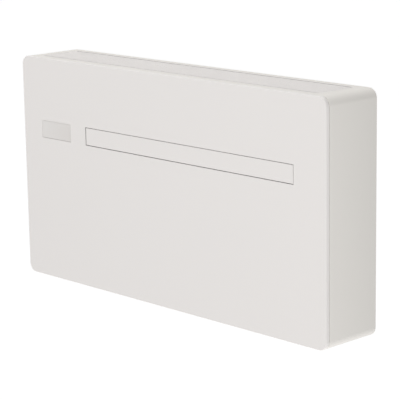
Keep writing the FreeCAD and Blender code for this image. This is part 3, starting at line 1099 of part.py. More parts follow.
def build():
    """Fill the sheets, make every sub-part, check them all and write one file for each."""
    fill_sheet("Sizes", SIZES)
    fill_sheet("Places", PLACES, "=")
    for make in (make_front_panel, make_case_shell, make_casing_screws, make_panel_clips, make_display,
                 make_flap, make_flap_drive, make_outlet_frame, make_outlet_guard, make_grille,
                 make_rear_chassis, make_wall_parts, make_base, make_air_path, make_crossflow_rotor,
                 make_evaporator, make_condenser, make_condensate_parts, make_outdoor_fan,
                 make_compressor, make_circuit, make_electrical_box):
        make()
    doc.recompute()
    for item in doc.Objects:
        if {"Invalid", "Error"} & set(item.State):
            raise RuntimeError(f"{item.Name} failed: {item.State}")
    os.makedirs("parts", exist_ok=True)
    for item in NODES:
        if item.Shape.isNull() or not item.Shape.isValid():
            raise RuntimeError(f"{item.Label} has no valid shape")
        item.Shape.exportStep(f"parts/{item.Label}.step")


build()
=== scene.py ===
import json
import math

import bmesh
import bpy
from mathutils import Matrix, Vector


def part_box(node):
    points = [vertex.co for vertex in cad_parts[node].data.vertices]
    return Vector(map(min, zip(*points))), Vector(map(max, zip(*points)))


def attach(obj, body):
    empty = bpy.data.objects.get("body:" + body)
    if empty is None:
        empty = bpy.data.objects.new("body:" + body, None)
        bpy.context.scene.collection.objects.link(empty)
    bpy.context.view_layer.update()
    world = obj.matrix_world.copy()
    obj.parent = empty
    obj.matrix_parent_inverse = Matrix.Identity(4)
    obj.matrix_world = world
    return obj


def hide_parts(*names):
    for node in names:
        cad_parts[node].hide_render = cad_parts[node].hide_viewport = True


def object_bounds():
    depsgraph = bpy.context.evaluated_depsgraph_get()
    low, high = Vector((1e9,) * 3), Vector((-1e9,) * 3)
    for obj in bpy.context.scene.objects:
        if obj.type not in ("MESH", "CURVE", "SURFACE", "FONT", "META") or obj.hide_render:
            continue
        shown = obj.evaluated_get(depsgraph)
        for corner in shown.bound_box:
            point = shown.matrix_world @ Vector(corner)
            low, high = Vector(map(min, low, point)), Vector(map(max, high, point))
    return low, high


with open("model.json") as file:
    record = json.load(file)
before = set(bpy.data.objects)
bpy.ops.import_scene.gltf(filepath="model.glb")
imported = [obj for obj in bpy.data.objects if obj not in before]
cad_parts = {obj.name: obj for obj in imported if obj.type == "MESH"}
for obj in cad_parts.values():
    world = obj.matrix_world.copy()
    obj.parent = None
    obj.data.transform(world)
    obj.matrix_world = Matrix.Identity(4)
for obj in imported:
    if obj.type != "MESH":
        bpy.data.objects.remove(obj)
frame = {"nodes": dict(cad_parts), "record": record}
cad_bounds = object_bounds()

# A white wall air conditioner: a shallow cabinet with a long outlet flap, a small display window, a
# slatted intake on top and two duct collars behind. Lengths in the code are millimetres until a mesh
# is made, and metres in it.

MM = 0.001

# The cabinet, from the boxes of its own parts.
PANEL_LOW, PANEL_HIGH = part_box("front_panel")
CASE_LOW, CASE_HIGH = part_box("case_shell")
FLAP_LOW, FLAP_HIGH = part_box("outlet_flap")
PANE_LOW, PANE_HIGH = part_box("display_window")
GRILLE_LOW, GRILLE_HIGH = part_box("top_grille")
GUARD_LOW, GUARD_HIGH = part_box("outlet_guard")
# ---- node helpers ------------------------------------------------------------------------------


def wire(tree, source, target):
    """Join an output socket to an input socket."""
    tree.links.new(source, target)


def add(tree, kind, **settings):
    """A node of that kind with its properties, or the values of its unlinked inputs, set."""
    node = tree.nodes.new(kind)
    for name, content in settings.items():
        if hasattr(node, name):
            setattr(node, name, content)
        else:
            node.inputs[name.replace("_", " ")].default_value = content
    return node


def make_group(name, inputs, outputs):
    """An empty shader group with named sockets; returns it with its input and output nodes."""
    group = bpy.data.node_groups.new(name, "ShaderNodeTree")
    for label, kind, start in inputs:
        socket = group.interface.new_socket(label, in_out="INPUT", socket_type=kind)
        if start is not None:
            socket.default_value = start
    for label, kind in outputs:
        group.interface.new_socket(label, in_out="OUTPUT", socket_type=kind)
    return group, group.nodes.new("NodeGroupInput"), group.nodes.new("NodeGroupOutput")


VECTOR, NUMBER = "NodeSocketVector", "NodeSocketFloat"

# ---- effects that several finishes share -------------------------------------------------------


def make_grain_group():
    """The fine grain of a moulding or a powder coat, and a slow drift of tone."""
    group, start, end = make_group(
        "moulded_grain",
        [("Place", VECTOR, None), ("Pitch", NUMBER, 900.0), ("Drift Size", NUMBER, 3.0)],
        [("Height", NUMBER), ("Drift", NUMBER)])
    fine = add(group, "ShaderNodeTexNoise", Detail=3.0, Roughness=0.62)
    pits = add(group, "ShaderNodeTexVoronoi", feature="SMOOTH_F1")
    slow = add(group, "ShaderNodeTexNoise", Detail=4.0, Roughness=0.5)
    part = add(group, "ShaderNodeMath", operation="MULTIPLY")
    part.inputs[1].default_value = 0.55
    both = add(group, "ShaderNodeMath", operation="MULTIPLY_ADD")
    both.inputs[1].default_value = 0.45
    for node in (fine, pits, slow):
        wire(group, start.outputs["Place"], node.inputs["Vector"])
    wire(group, start.outputs["Pitch"], fine.inputs["Scale"])
    wire(group, start.outputs["Pitch"], pits.inputs["Scale"])
    wire(group, start.outputs["Drift Size"], slow.inputs["Scale"])
    wire(group, fine.outputs["Fac"], part.inputs[0])
    wire(group, pits.outputs["Distance"], both.inputs[0])
    wire(group, part.outputs[0], both.inputs[2])
    wire(group, both.outputs[0], end.inputs["Height"])
    wire(group, slow.outputs["Fac"], end.inputs["Drift"])
    return group


def make_dust_group():
    """Thin dust on faces that look up, thicker in slow patches."""
    group, start, end = make_group(
        "settled_dust", [("Place", VECTOR, None), ("Amount", NUMBER, 0.2)], [("Mask", NUMBER)])
    shape = add(group, "ShaderNodeNewGeometry")
    split = add(group, "ShaderNodeSeparateXYZ")
    rise = add(group, "ShaderNodeMapRange", From_Min=0.55, From_Max=1.0)
    patch = add(group, "ShaderNodeTexNoise", Scale=26.0, Detail=5.0, Roughness=0.6)
    speck = add(group, "ShaderNodeMapRange", From_Min=0.35, From_Max=0.75)
    product = add(group, "ShaderNodeMath", operation="MULTIPLY")
    scaled = add(group, "ShaderNodeMath", operation="MULTIPLY")
    wire(group, shape.outputs["Normal"], split.inputs[0])
    wire(group, split.outputs["Z"], rise.inputs["Value"])
    wire(group, start.outputs["Place"], patch.inputs["Vector"])
    wire(group, patch.outputs["Fac"], speck.inputs["Value"])
    wire(group, rise.outputs["Result"], product.inputs[0])
    wire(group, speck.outputs["Result"], product.inputs[1])
    wire(group, product.outputs[0], scaled.inputs[0])
    wire(group, start.outputs["Amount"], scaled.inputs[1])
    wire(group, scaled.outputs[0], end.inputs["Mask"])
    return group


def make_rolled_group():
    """Drawn or rolled metal: fine streaks along one axis and soft handling marks."""
    group, start, end = make_group(
        "rolled_metal",
        [("Place", VECTOR, None), ("Stretch", VECTOR, (4.0, 400.0, 400.0))],
        [("Streak", NUMBER), ("Smudge", NUMBER)])
    squeeze = add(group, "ShaderNodeMapping")
    streak = add(group, "ShaderNodeTexNoise", Scale=4.0, Detail=4.0, Roughness=0.7)
    smudge = add(group, "ShaderNodeTexNoise", Scale=18.0, Detail=3.0, Roughness=0.55)
    wire(group, start.outputs["Place"], squeeze.inputs["Vector"])
    wire(group, start.outputs["Stretch"], squeeze.inputs["Scale"])
    wire(group, squeeze.outputs["Vector"], streak.inputs["Vector"])
    wire(group, start.outputs["Place"], smudge.inputs["Vector"])
    wire(group, streak.outputs["Fac"], end.inputs["Streak"])
    wire(group, smudge.outputs["Fac"], end.inputs["Smudge"])
    return group


def make_cells_group():
    """Packed cells, such as zinc crystals or foam beads: a tone for each and the distance to its rim."""
    group, start, end = make_group(
        "packed_cells", [("Place", VECTOR, None), ("Pitch", NUMBER, 110.0)],
        [("Tone", NUMBER), ("Rim", NUMBER)])
    cell = add(group, "ShaderNodeTexVoronoi", feature="F1")
    rim = add(group, "ShaderNodeTexVoronoi", feature="DISTANCE_TO_EDGE")
    grey = add(group, "ShaderNodeRGBToBW")
    for node in (cell, rim):
        wire(group, start.outputs["Place"], node.inputs["Vector"])
        wire(group, start.outputs["Pitch"], node.inputs["Scale"])
    wire(group, cell.outputs["Color"], grey.inputs[0])
    wire(group, grey.outputs[0], end.inputs["Tone"])
    wire(group, rim.outputs["Distance"], end.inputs["Rim"])
    return group


def make_span_group():
    """How far along a line a point lies, from 0 at its start to 1 at its end, a little uneven."""
    group, start, end = make_group(
        "along_line",
        [("Place", VECTOR, None), ("Start", VECTOR, (0.0, 0.0, 0.0)), ("Way", VECTOR, (1.0, 0.0, 0.0)),
         ("Unevenness", NUMBER, 0.1)],
        [("Share", NUMBER)])
    offset = add(group, "ShaderNodeVectorMath", operation="SUBTRACT")
    along = add(group, "ShaderNodeVectorMath", operation="DOT_PRODUCT")
    blot = add(group, "ShaderNodeTexNoise", Scale=7.0, Detail=3.0)
    centred = add(group, "ShaderNodeMath", operation="SUBTRACT")
    centred.inputs[1].default_value = 0.5
    whole = add(group, "ShaderNodeMath", operation="MULTIPLY_ADD", use_clamp=True)
    wire(group, start.outputs["Place"], offset.inputs[0])
    wire(group, start.outputs["Start"], offset.inputs[1])
    wire(group, offset.outputs["Vector"], along.inputs[0])
    wire(group, start.outputs["Way"], along.inputs[1])
    wire(group, start.outputs["Place"], blot.inputs["Vector"])
    wire(group, blot.outputs["Fac"], centred.inputs[0])
    wire(group, centred.outputs[0], whole.inputs[0])
    wire(group, start.outputs["Unevenness"], whole.inputs[1])
    wire(group, along.outputs["Value"], whole.inputs[2])
    wire(group, whole.outputs[0], end.inputs["Share"])
    return group


GRAIN = make_grain_group()
SPAN = make_span_group()
DUST = make_dust_group()
ROLLED = make_rolled_group()
CELLS = make_cells_group()

# ---- finishes ----------------------------------------------------------------------------------


def effect(tree, group, **values):
    """One of the shared effects on the piece's own coordinates, with its values set."""
    node = tree.nodes.new("ShaderNodeGroup")
    node.node_tree = group
    place = tree.nodes.get("Own Place")
    if place is None:
        place = tree.nodes.new("ShaderNodeTexCoord")
        place.name = "Own Place"
    wire(tree, place.outputs["Object"], node.inputs["Place"])
    for name, content in values.items():
        node.inputs[name.replace("_", " ")].default_value = content
    return node


def finish(name, roughness, metallic=0.0, **sockets):
    """A new material with one shader; returns the material, its tree and the shader."""
    material = bpy.data.materials.new(name)
    material.use_nodes = True
    tree = material.node_tree
    surface = tree.nodes["Principled BSDF"]
    surface.inputs["Roughness"].default_value = roughness
    surface.inputs["Metallic"].default_value = metallic
    for label, content in sockets.items():
        surface.inputs[label.replace("_", " ")].default_value = content
    return material, tree, surface


def colours(tree, factor, low, high):
    """A colour that moves from low to high with the factor."""
    ramp = tree.nodes.new("ShaderNodeValToRGB")
    ramp.color_ramp.elements[0].color = (*low, 1.0)
    ramp.color_ramp.elements[1].color = (*high, 1.0)
    wire(tree, factor, ramp.inputs["Fac"])
    return ramp.outputs["Color"]


def spread(tree, factor, low, high):
    """A number that moves from low to high with the factor."""
    node = add(tree, "ShaderNodeMapRange", To_Min=low, To_Max=high)
    wire(tree, factor, node.inputs["Value"])
    return node.outputs["Result"]


def over(tree, mask, below, colour):
    """A colour laid over another where the mask is high."""
    mix = add(tree, "ShaderNodeMix", data_type="RGBA")
    wire(tree, mask, mix.inputs[0])
    wire(tree, below, mix.inputs[6])
    mix.inputs[7].default_value = (*colour, 1.0)
    return mix.outputs[2]


def raise_surface(tree, surface, height, depth, strength=1.0):
    """Bump the surface by a height map, depth millimetres at most."""
    node = add(tree, "ShaderNodeBump", Strength=strength, Distance=depth * MM)
    wire(tree, height, node.inputs["Height"])
    wire(tree, node.outputs["Normal"], surface.inputs["Normal"])


def tones(colour, contrast):
    """A colour a little darker and a little lighter."""
    return [tuple(min(1.0, part * (1 + side * contrast)) for part in colour) for side in (-1, 1)]


def moulded(name, colour, roughness, pitch=900.0, depth=0.04, contrast=0.03, dust=0.0, **sockets):
    """Moulded plastic or powder coat: fine grain, a slow drift of tone, and dust if it looks up."""
    material, tree, surface = finish(name, roughness, **sockets)
    grain = effect(tree, GRAIN, Pitch=pitch)
    base = colours(tree, grain.outputs["Drift"], *tones(colour, contrast))
    if dust:
        base = over(tree, effect(tree, DUST, Amount=dust).outputs["Mask"], base, DUST_COLOUR)
    wire(tree, base, surface.inputs["Base Color"])
    gloss = spread(tree, grain.outputs["Height"], roughness - 0.05, roughness + 0.07)
    wire(tree, gloss, surface.inputs["Roughness"])
    raise_surface(tree, surface, grain.outputs["Height"], depth)
    return material


def streaked_metal(name, low, high, roughness, stretch=(4.0, 400.0, 400.0), depth=0.02):
    """A drawn, rolled or turned metal with streaks along one axis and duller handling marks."""
    material, tree, surface = finish(name, roughness, 1.0)
    rolled = effect(tree, ROLLED, Stretch=stretch)
    wire(tree, colours(tree, rolled.outputs["Smudge"], low, high), surface.inputs["Base Color"])
    gloss = spread(tree, rolled.outputs["Streak"], roughness - 0.1, roughness + 0.15)
    wire(tree, gloss, surface.inputs["Roughness"])
    raise_surface(tree, surface, rolled.outputs["Streak"], depth)
    return material


def zinc_sheet():
    """Hot-dipped sheet: crystals that differ in brightness and gloss, with thin dust on top."""
    material, tree, surface = finish("galvanised_sheet", 0.45, 1.0)
    cells = effect(tree, CELLS, Pitch=120.0)
    base = colours(tree, cells.outputs["Tone"], (0.44, 0.45, 0.46), (0.62, 0.63, 0.64))
    dust = effect(tree, DUST, Amount=0.3).outputs["Mask"]
    wire(tree, over(tree, dust, base, (0.36, 0.35, 0.33)), surface.inputs["Base Color"])
    wire(tree, spread(tree, cells.outputs["Tone"], 0.36, 0.56), surface.inputs["Roughness"])
    raise_surface(tree, surface, cells.outputs["Rim"], 0.03, 0.4)
    return material


def bead_foam():
    """Moulded white foam: packed beads, each a touch lighter or darker, with sunk borders."""
    material, tree, surface = finish("pale_foam", 0.75)
    cells = effect(tree, CELLS, Pitch=300.0)
    base = colours(tree, cells.outputs["Tone"], (0.70, 0.70, 0.68), (0.82, 0.82, 0.80))
    wire(tree, base, surface.inputs["Base Color"])
    wire(tree, spread(tree, cells.outputs["Tone"], 0.66, 0.82), surface.inputs["Roughness"])
    raise_surface(tree, surface, cells.outputs["Rim"], 0.25, 0.6)
    return material


def open_foam():
    """Grey sealing foam: small open cells, nearly matt."""
    material, tree, surface = finish("grey_foam", 0.92)
    cells = effect(tree, CELLS, Pitch=900.0)
    grain = effect(tree, GRAIN, Pitch=240.0)
    base = colours(tree, cells.outputs["Rim"], (0.012, 0.012, 0.013), (0.07, 0.07, 0.075))
    wire(tree, base, surface.inputs["Base Color"])
    wire(tree, spread(tree, grain.outputs["Drift"], 0.86, 0.98), surface.inputs["Roughness"])
    raise_surface(tree, surface, cells.outputs["Rim"], 0.5)
    return material


def tarnished_copper():
    """Copper tube: bright where it was handled, browner in patches, with drawing marks."""
    material, tree, surface = finish("coil_copper", 0.3, 1.0)
    rolled = effect(tree, ROLLED, Stretch=(60.0, 60.0, 60.0))
    base = colours(tree, rolled.outputs["Smudge"], (0.40, 0.17, 0.10), (0.90, 0.50, 0.34))
    wire(tree, base, surface.inputs["Base Color"])
    wire(tree, spread(tree, rolled.outputs["Smudge"], 0.42, 0.22), surface.inputs["Roughness"])
    raise_surface(tree, surface, rolled.outputs["Streak"], 0.02)
    return material


def board_lacquer():
    """Green board lacquer over copper tracks: fine parallel tracks that show as raised lines."""
    material, tree, surface = finish("circuit_board", 0.35)
    place = add(tree, "ShaderNodeTexCoord")
    tracks = add(tree, "ShaderNodeTexBrick", Scale=120.0, Mortar_Size=0.06)
    wire(tree, place.outputs["Object"], tracks.inputs["Vector"])
    base = colours(tree, tracks.outputs["Fac"], (0.012, 0.09, 0.04), (0.03, 0.17, 0.08))
    wire(tree, base, surface.inputs["Base Color"])
    wire(tree, spread(tree, tracks.outputs["Fac"], 0.3, 0.42), surface.inputs["Roughness"])
    raise_surface(tree, surface, tracks.outputs["Fac"], 0.03)
    return material


def case_paint_and_painted_shade():
    """White powder coat, with painted shade that greys its sides a little towards the wall and the top."""
    low, high = CASE_LOW, CASE_HIGH
    deep, tall = high.y - low.y, high.z - low.z
    material, tree, surface = finish("case_white", 0.5)
    grain = effect(tree, GRAIN, Pitch=700.0)
    base = colours(tree, grain.outputs["Drift"], *tones(CASE_COLOUR, 0.012))
    # Painted shade: faces that don't look up are darkened towards the wall and the top, as though less light
    # reached them there.
    back = effect(tree, SPAN, Start=(0.0, low.y, low.z), Way=(0.0, 0.8 / deep, 0.2 / tall), Unevenness=0.12)
    facing = add(tree, "ShaderNodeSeparateXYZ")
    wire(tree, add(tree, "ShaderNodeNewGeometry").outputs["Normal"], facing.inputs[0])
    shaded_side_faces = add(tree, "ShaderNodeMapRange", From_Min=0.3, From_Max=0.9, To_Min=1.0, To_Max=0.0)
    wire(tree, facing.outputs["Z"], shaded_side_faces.inputs["Value"])
    painted_shade_mask = add(tree, "ShaderNodeMath", operation="MULTIPLY")
    wire(tree, back.outputs["Share"], painted_shade_mask.inputs[0])
    wire(tree, shaded_side_faces.outputs["Result"], painted_shade_mask.inputs[1])
    # The painted shade is laid over the paint as the case white darkened to 0.885.
    base = over(tree, painted_shade_mask.outputs[0], base, tuple(part * 0.885 for part in CASE_COLOUR))
    dust = effect(tree, DUST, Amount=0.05).outputs["Mask"]
    wire(tree, over(tree, dust, base, DUST_COLOUR), surface.inputs["Base Color"])
    wire(tree, spread(tree, grain.outputs["Height"], 0.45, 0.57), surface.inputs["Roughness"])
    raise_surface(tree, surface, grain.outputs["Height"], 0.03)
    return material


def smoked_pane():
    """The display's pale window: a shade greyer towards its lower right, with a fine moulded grain."""
    low, high = PANE_LOW, PANE_HIGH
    wide, tall = high.x - low.x, high.z - low.z
    material, tree, surface = finish("display_grey", 0.3)
    grain = effect(tree, GRAIN, Pitch=1400.0)
    across = effect(tree, SPAN, Start=(low.x, 0.0, high.z), Way=(0.75 / wide, 0.0, -0.25 / tall),
                    Unevenness=0.25)
    base = colours(tree, across.outputs["Share"], (0.755, 0.735, 0.715), (0.705, 0.672, 0.648))
    wire(tree, base, surface.inputs["Base Color"])
    wire(tree, spread(tree, grain.outputs["Height"], 0.26, 0.36), surface.inputs["Roughness"])
    raise_surface(tree, surface, grain.outputs["Height"], 0.008)
    return material


PANEL_COLOUR, CASE_COLOUR = (0.812, 0.784, 0.765), (0.80, 0.775, 0.735)
DUST_COLOUR = (0.5, 0.48, 0.45)
FINISH_OF_SLOT = {
    "panel_white": moulded("panel_white", PANEL_COLOUR, 0.46, 1100.0, 0.02, 0.008),
    "case_white": case_paint_and_painted_shade(),
    "display_grey": smoked_pane(),
    "circuit_board": board_lacquer(),
    "natural_plastic": moulded("natural_plastic", (0.68, 0.67, 0.63), 0.45),
    "black_plastic": moulded("black_plastic", (0.020, 0.020, 0.022), 0.5, 800.0, 0.04, 0.1),
    "filter_mesh": moulded("filter_mesh", (0.05, 0.055, 0.06), 0.6, 900.0, 0.04, 0.15),
    "galvanised_sheet": zinc_sheet(),
    "bright_steel": streaked_metal("bright_steel", (0.5, 0.5, 0.51), (0.66, 0.66, 0.67), 0.28),
    "fin_aluminium": streaked_metal(
        "fin_aluminium", (0.74, 0.75, 0.76), (0.86, 0.87, 0.88), 0.3, (300.0, 8.0, 8.0)),
    "coil_copper": tarnished_copper(),
    "valve_brass": streaked_metal(
        "valve_brass", (0.62, 0.45, 0.19), (0.83, 0.65, 0.32), 0.3, (200.0, 6.0, 200.0)),
    "black_enamel": moulded("black_enamel", (0.012, 0.012, 0.013), 0.25, 300.0, 0.08, 0.15, dust=0.1),
    "grey_foam": open_foam(),
    "black_rubber": moulded("black_rubber", (0.015, 0.015, 0.015), 0.75, 700.0, 0.04, 0.15),
    "pale_foam": bead_foam(),
    "motor_shell": moulded("motor_shell", (0.62, 0.61, 0.58), 0.42),
}
SLOT_OF_NODE = {part["node"]: part["material_slot"] for part in frame["record"]["subparts"]}


def dress_frame():
    """Give every piece of the frame the finish of its slot."""
    for name, part in frame["nodes"].items():
        part.data.materials.clear()
        part.data.materials.append(FINISH_OF_SLOT[SLOT_OF_NODE[name]])


# ---- mesh helpers ------------------------------------------------------------------------------


def span(low, high):
    """The box between two corners in metres, as three (low, high) pairs in millimetres."""
    return [(start / MM, end / MM) for start, end in zip(low, high)]


def rounded_loop(box, radius, inset=0.0, steps=6, stops=()):
    """A rectangle (left, right, low, high) with round corners, drawn in by inset, as flat points.

    It runs anticlockwise from the lower right corner, and stops are places on its upper side that
    get points of their own.
    """
    left, right, low, high = box[0] + inset, box[1] - inset, box[2] + inset, box[3] - inset
    bend = max(radius - inset, 0.01)
    points = []
    corners = [(right - bend, low + bend, -90), (right - bend, high - bend, 0),
               (left + bend, high - bend, 90), (left + bend, low + bend, 180)]
    for index, (x, y, first) in enumerate(corners):
        for step in range(steps + 1):
            turn = math.radians(first + 90 * step / steps)
            points.append((x + bend * math.cos(turn), y + bend * math.sin(turn)))
        if index == 1:
            points += [(stop, high) for stop in sorted(stops, reverse=True)]
    return points


def upright(across, up, depth):
    """A flat point and its depth, for a face that looks forwards."""
    return Vector((across, depth, up)) * MM


def level(across, up, depth):
    """A flat point and its height, for a face that looks up."""
    return Vector((across, up, depth)) * MM


def add_ring(mesh, points, depth, lay):
    """Vertices round a loop at one depth."""
    return [mesh.verts.new(lay(x, y, depth)) for x, y in points]


def bridge(mesh, first, second, skip=()):
    """Faces between two rings of equal length, apart from the steps that are skipped."""
    count = len(first)
    for index in range(count):
        if index not in skip:
            after = (index + 1) % count
            mesh.faces.new((first[index], first[after], second[after], second[index]))


def cap(mesh, rings):
    """A flat face bounded by the first ring, with the other rings as its holes."""
    edges = []
    for ring in rings:
        for index, vertex in enumerate(ring):
            pair = (vertex, ring[(index + 1) % len(ring)])
            edges.append(mesh.edges.get(pair) or mesh.edges.new(pair))
    bmesh.ops.triangle_fill(mesh, use_beauty=True, use_dissolve=False, edges=edges)


def round_over(edge, face, radius, steps, sign=1):
    """(inset, depth) pairs from a wall to a face round a quarter circle; sign is -1 for a hole."""
    into = 1 if edge > face else -1
    pairs = []
    for step in range(steps + 1):
        turn = math.pi / 2 * (1 - step / steps)
        pairs.append((sign * radius * (1 - math.sin(turn)), face + into * radius * (1 - math.cos(turn))))
    return pairs


def close_mesh(name, mesh, soften=None, crease=35.0):
    """Finish a closed mesh: outward faces, smooth shading with flat faces kept flat, an object."""
    bmesh.ops.remove_doubles(mesh, verts=mesh.verts, dist=0.002 * MM)
    bmesh.ops.recalc_face_normals(mesh, faces=mesh.faces)
    data = bpy.data.meshes.new(name)
    mesh.to_mesh(data)
    mesh.free()
    piece = bpy.data.objects.new(name, data)
    bpy.context.collection.objects.link(piece)
    return polish(piece, soften, crease)


def apply_modifiers(piece):
    """Turn what the piece's modifiers make into its own plain mesh."""
    bpy.context.view_layer.update()
    made = piece.evaluated_get(bpy.context.evaluated_depsgraph_get())
    data = bpy.data.meshes.new_from_object(made)
    data.name = piece.name
    piece.modifiers.clear()
    piece.data = data
    return piece


def polish(piece, soften=None, crease=35.0):
    """Round the sharp edges by soften millimetres and shade smoothly without bending flat faces."""
    if soften:
        bevel = piece.modifiers.new("soft_edges", "BEVEL")
        bevel.width, bevel.segments = soften * MM, 3
        bevel.limit_method, bevel.angle_limit = "ANGLE", math.radians(crease)
        bevel.use_clamp_overlap = True
        bevel.miter_outer = "MITER_ARC"
        apply_modifiers(piece)
    piece.data.shade_smooth()
    piece.data.set_sharp_from_angle(angle=math.radians(50))
    weigh = piece.modifiers.new("flat_faces", "WEIGHTED_NORMAL")
    weigh.keep_sharp = True
    return apply_modifiers(piece)


def hand_over(piece, body, slot, *nodes):
    """Give a finished piece its finish, its body and the nodes that it stands for."""
    piece.data.materials.clear()
    piece.data.materials.append(FINISH_OF_SLOT[slot])
    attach(piece, body)
    if nodes:
        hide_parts(*nodes)
    return piece


def drill(piece, name, tools):
    """Take round bars, each a (start, end, radius), out of a piece."""
    mesh = bmesh.new()
    for start, end, radius in tools:
        along = Vector(end) - Vector(start)
        turn = along.to_track_quat("Z", "Y").to_matrix().to_4x4()
        spot = Matrix.Translation((Vector(start) + Vector(end)) / 2 * MM) @ turn
        bmesh.ops.create_cone(mesh, cap_ends=True, segments=48, radius1=radius * MM, radius2=radius * MM,
                              depth=along.length * MM, matrix=spot)
    data = bpy.data.meshes.new(name)
    mesh.to_mesh(data)
    mesh.free()
    tool = bpy.data.objects.new(name, data)
    bpy.context.collection.objects.link(tool)
    taking = piece.modifiers.new("holes", "BOOLEAN")
    taking.object, taking.operation, taking.solver = tool, "DIFFERENCE", "EXACT"
    apply_modifiers(piece)
    bpy.data.objects.remove(tool)
    return piece


def soft_copy(node, width):
    """A copy of a frame part with its loose triangles merged and its sharp edges rounded."""
    mesh = bmesh.new()
    mesh.from_mesh(frame["nodes"][node].data)
    bmesh.ops.remove_doubles(mesh, verts=mesh.verts, dist=0.002 * MM)
    bmesh.ops.dissolve_limit(mesh, angle_limit=math.radians(0.5), use_dissolve_boundaries=False,
                             verts=mesh.verts, edges=mesh.edges)
    data = bpy.data.meshes.new(node + "_soft")
    mesh.to_mesh(data)
    mesh.free()
    piece = bpy.data.objects.new(node + "_soft", data)
    bpy.context.collection.objects.link(piece)
    return polish(piece, width)

# ---- rows of bars, made with nodes --------------------------------------------------------------


def make_bar_row_tree():
    """Nodes that copy one bar with rounded edges along a line: slats, fins, ribs and threads."""
    tree = bpy.data.node_groups.new("bar_row", "GeometryNodeTree")
    sockets = [("Bar Start", "NodeSocketVector"), ("Bar End", "NodeSocketVector"),
               ("Width", NUMBER), ("Height", NUMBER), ("Rounding", NUMBER),
               ("Rounding Steps", "NodeSocketInt"),
               ("Count", "NodeSocketInt"), ("Step", "NodeSocketVector"), ("Finish", "NodeSocketMaterial")]
    for label, kind in sockets:
        tree.interface.new_socket(label, in_out="INPUT", socket_type=kind)
    tree.interface.new_socket("Geometry", in_out="OUTPUT", socket_type="NodeSocketGeometry")
    start, end = tree.nodes.new("NodeGroupInput"), tree.nodes.new("NodeGroupOutput")
    line = tree.nodes.new("GeometryNodeCurvePrimitiveLine")
    outline = tree.nodes.new("GeometryNodeCurvePrimitiveQuadrilateral")
    corners = tree.nodes.new("GeometryNodeFilletCurve")
    corners.mode = "POLY"
    bar = tree.nodes.new("GeometryNodeCurveToMesh")
    bar.inputs["Fill Caps"].default_value = True
    places = tree.nodes.new("GeometryNodeMeshLine")
    copies = tree.nodes.new("GeometryNodeInstanceOnPoints")
    real = tree.nodes.new("GeometryNodeRealizeInstances")
    coat = tree.nodes.new("GeometryNodeSetMaterial")
    joins = [(start.outputs["Bar Start"], line.inputs["Start"]),
             (start.outputs["Bar End"], line.inputs["End"]),
             (start.outputs["Width"], outline.inputs["Width"]),
             (start.outputs["Height"], outline.inputs["Height"]),
             (outline.outputs[0], corners.inputs["Curve"]),
             (start.outputs["Rounding"], corners.inputs["Radius"]),
             (start.outputs["Rounding Steps"], corners.inputs["Count"]),
             (line.outputs[0], bar.inputs["Curve"]), (corners.outputs[0], bar.inputs["Profile Curve"]),
             (start.outputs["Count"], places.inputs["Count"]),
             (start.outputs["Step"], places.inputs["Offset"]),
             (places.outputs[0], copies.inputs["Points"]), (bar.outputs[0], copies.inputs["Instance"]),
             (copies.outputs[0], real.inputs[0]), (real.outputs[0], coat.inputs["Geometry"]),
             (start.outputs["Finish"], coat.inputs["Material"]), (coat.outputs[0], end.inputs["Geometry"])]
    for source, target in joins:
        wire(tree, source, target)
    return tree


BAR_ROW = make_bar_row_tree()


def bar_row(name, first, last, size, count, step, slot, rounding=0.0, rounding_steps=1):
    """A row of equal bars in millimetres; the first runs from first to last.

    size is across and up: Y and Z for a bar along X, X and Z along Y, X and Y for an upright one.
    """
    piece = bpy.data.objects.new(name, bpy.data.meshes.new(name))
    bpy.context.collection.objects.link(piece)
    row = piece.modifiers.new("row", "NODES")
    row.node_group = BAR_ROW
    settings = {"Bar Start": Vector(first) * MM, "Bar End": Vector(last) * MM, "Width": size[0] * MM,
                "Height": size[1] * MM, "Rounding": rounding * MM, "Rounding Steps": rounding_steps,
                "Count": count, "Step": Vector(step) * MM, "Finish": FINISH_OF_SLOT[slot]}
    for socket in BAR_ROW.interface.items_tree:
        if socket.in_out == "INPUT":
            row[socket.identifier] = settings[socket.name]
    apply_modifiers(piece)
    return piece


def merge(name, *pieces):
    """Several finished meshes as one object."""
    mesh = bmesh.new()
    for piece in pieces:
        mesh.from_mesh(piece.data)
        bpy.data.objects.remove(piece)
    data = bpy.data.meshes.new(name)
    mesh.to_mesh(data)
    mesh.free()
    whole = bpy.data.objects.new(name, data)
    bpy.context.collection.objects.link(whole)
    whole.data.shade_smooth()
    whole.data.set_sharp_from_angle(angle=math.radians(50))
    return whole


# ---- front panel, flap and display -------------------------------------------------------------

CORNER = 22.0
PANEL_EDGE = 2.5
PANEL_SKIN = 3.0
WINDOW_EDGE = 0.8
REBATE = 3.0
FLAP_NOSE = 1.8
PANE_RIM = 4.0
FIT = 0.3


def outlet_window():
    """The flap's window in the panel: left, right, low, high. The guard behind it fits inside it."""
    (left, right), _, (low, high) = span(GUARD_LOW, GUARD_HIGH)
    return left - FIT, right + FIT, low - FIT, high + FIT


def display_window():
    """The display's window in the panel: the rim behind it is wider by PANE_RIM all round."""
    (left, right), _, (low, high) = span(PANE_LOW, PANE_HIGH)
    return left + PANE_RIM, right - PANE_RIM, low + PANE_RIM, high - PANE_RIM


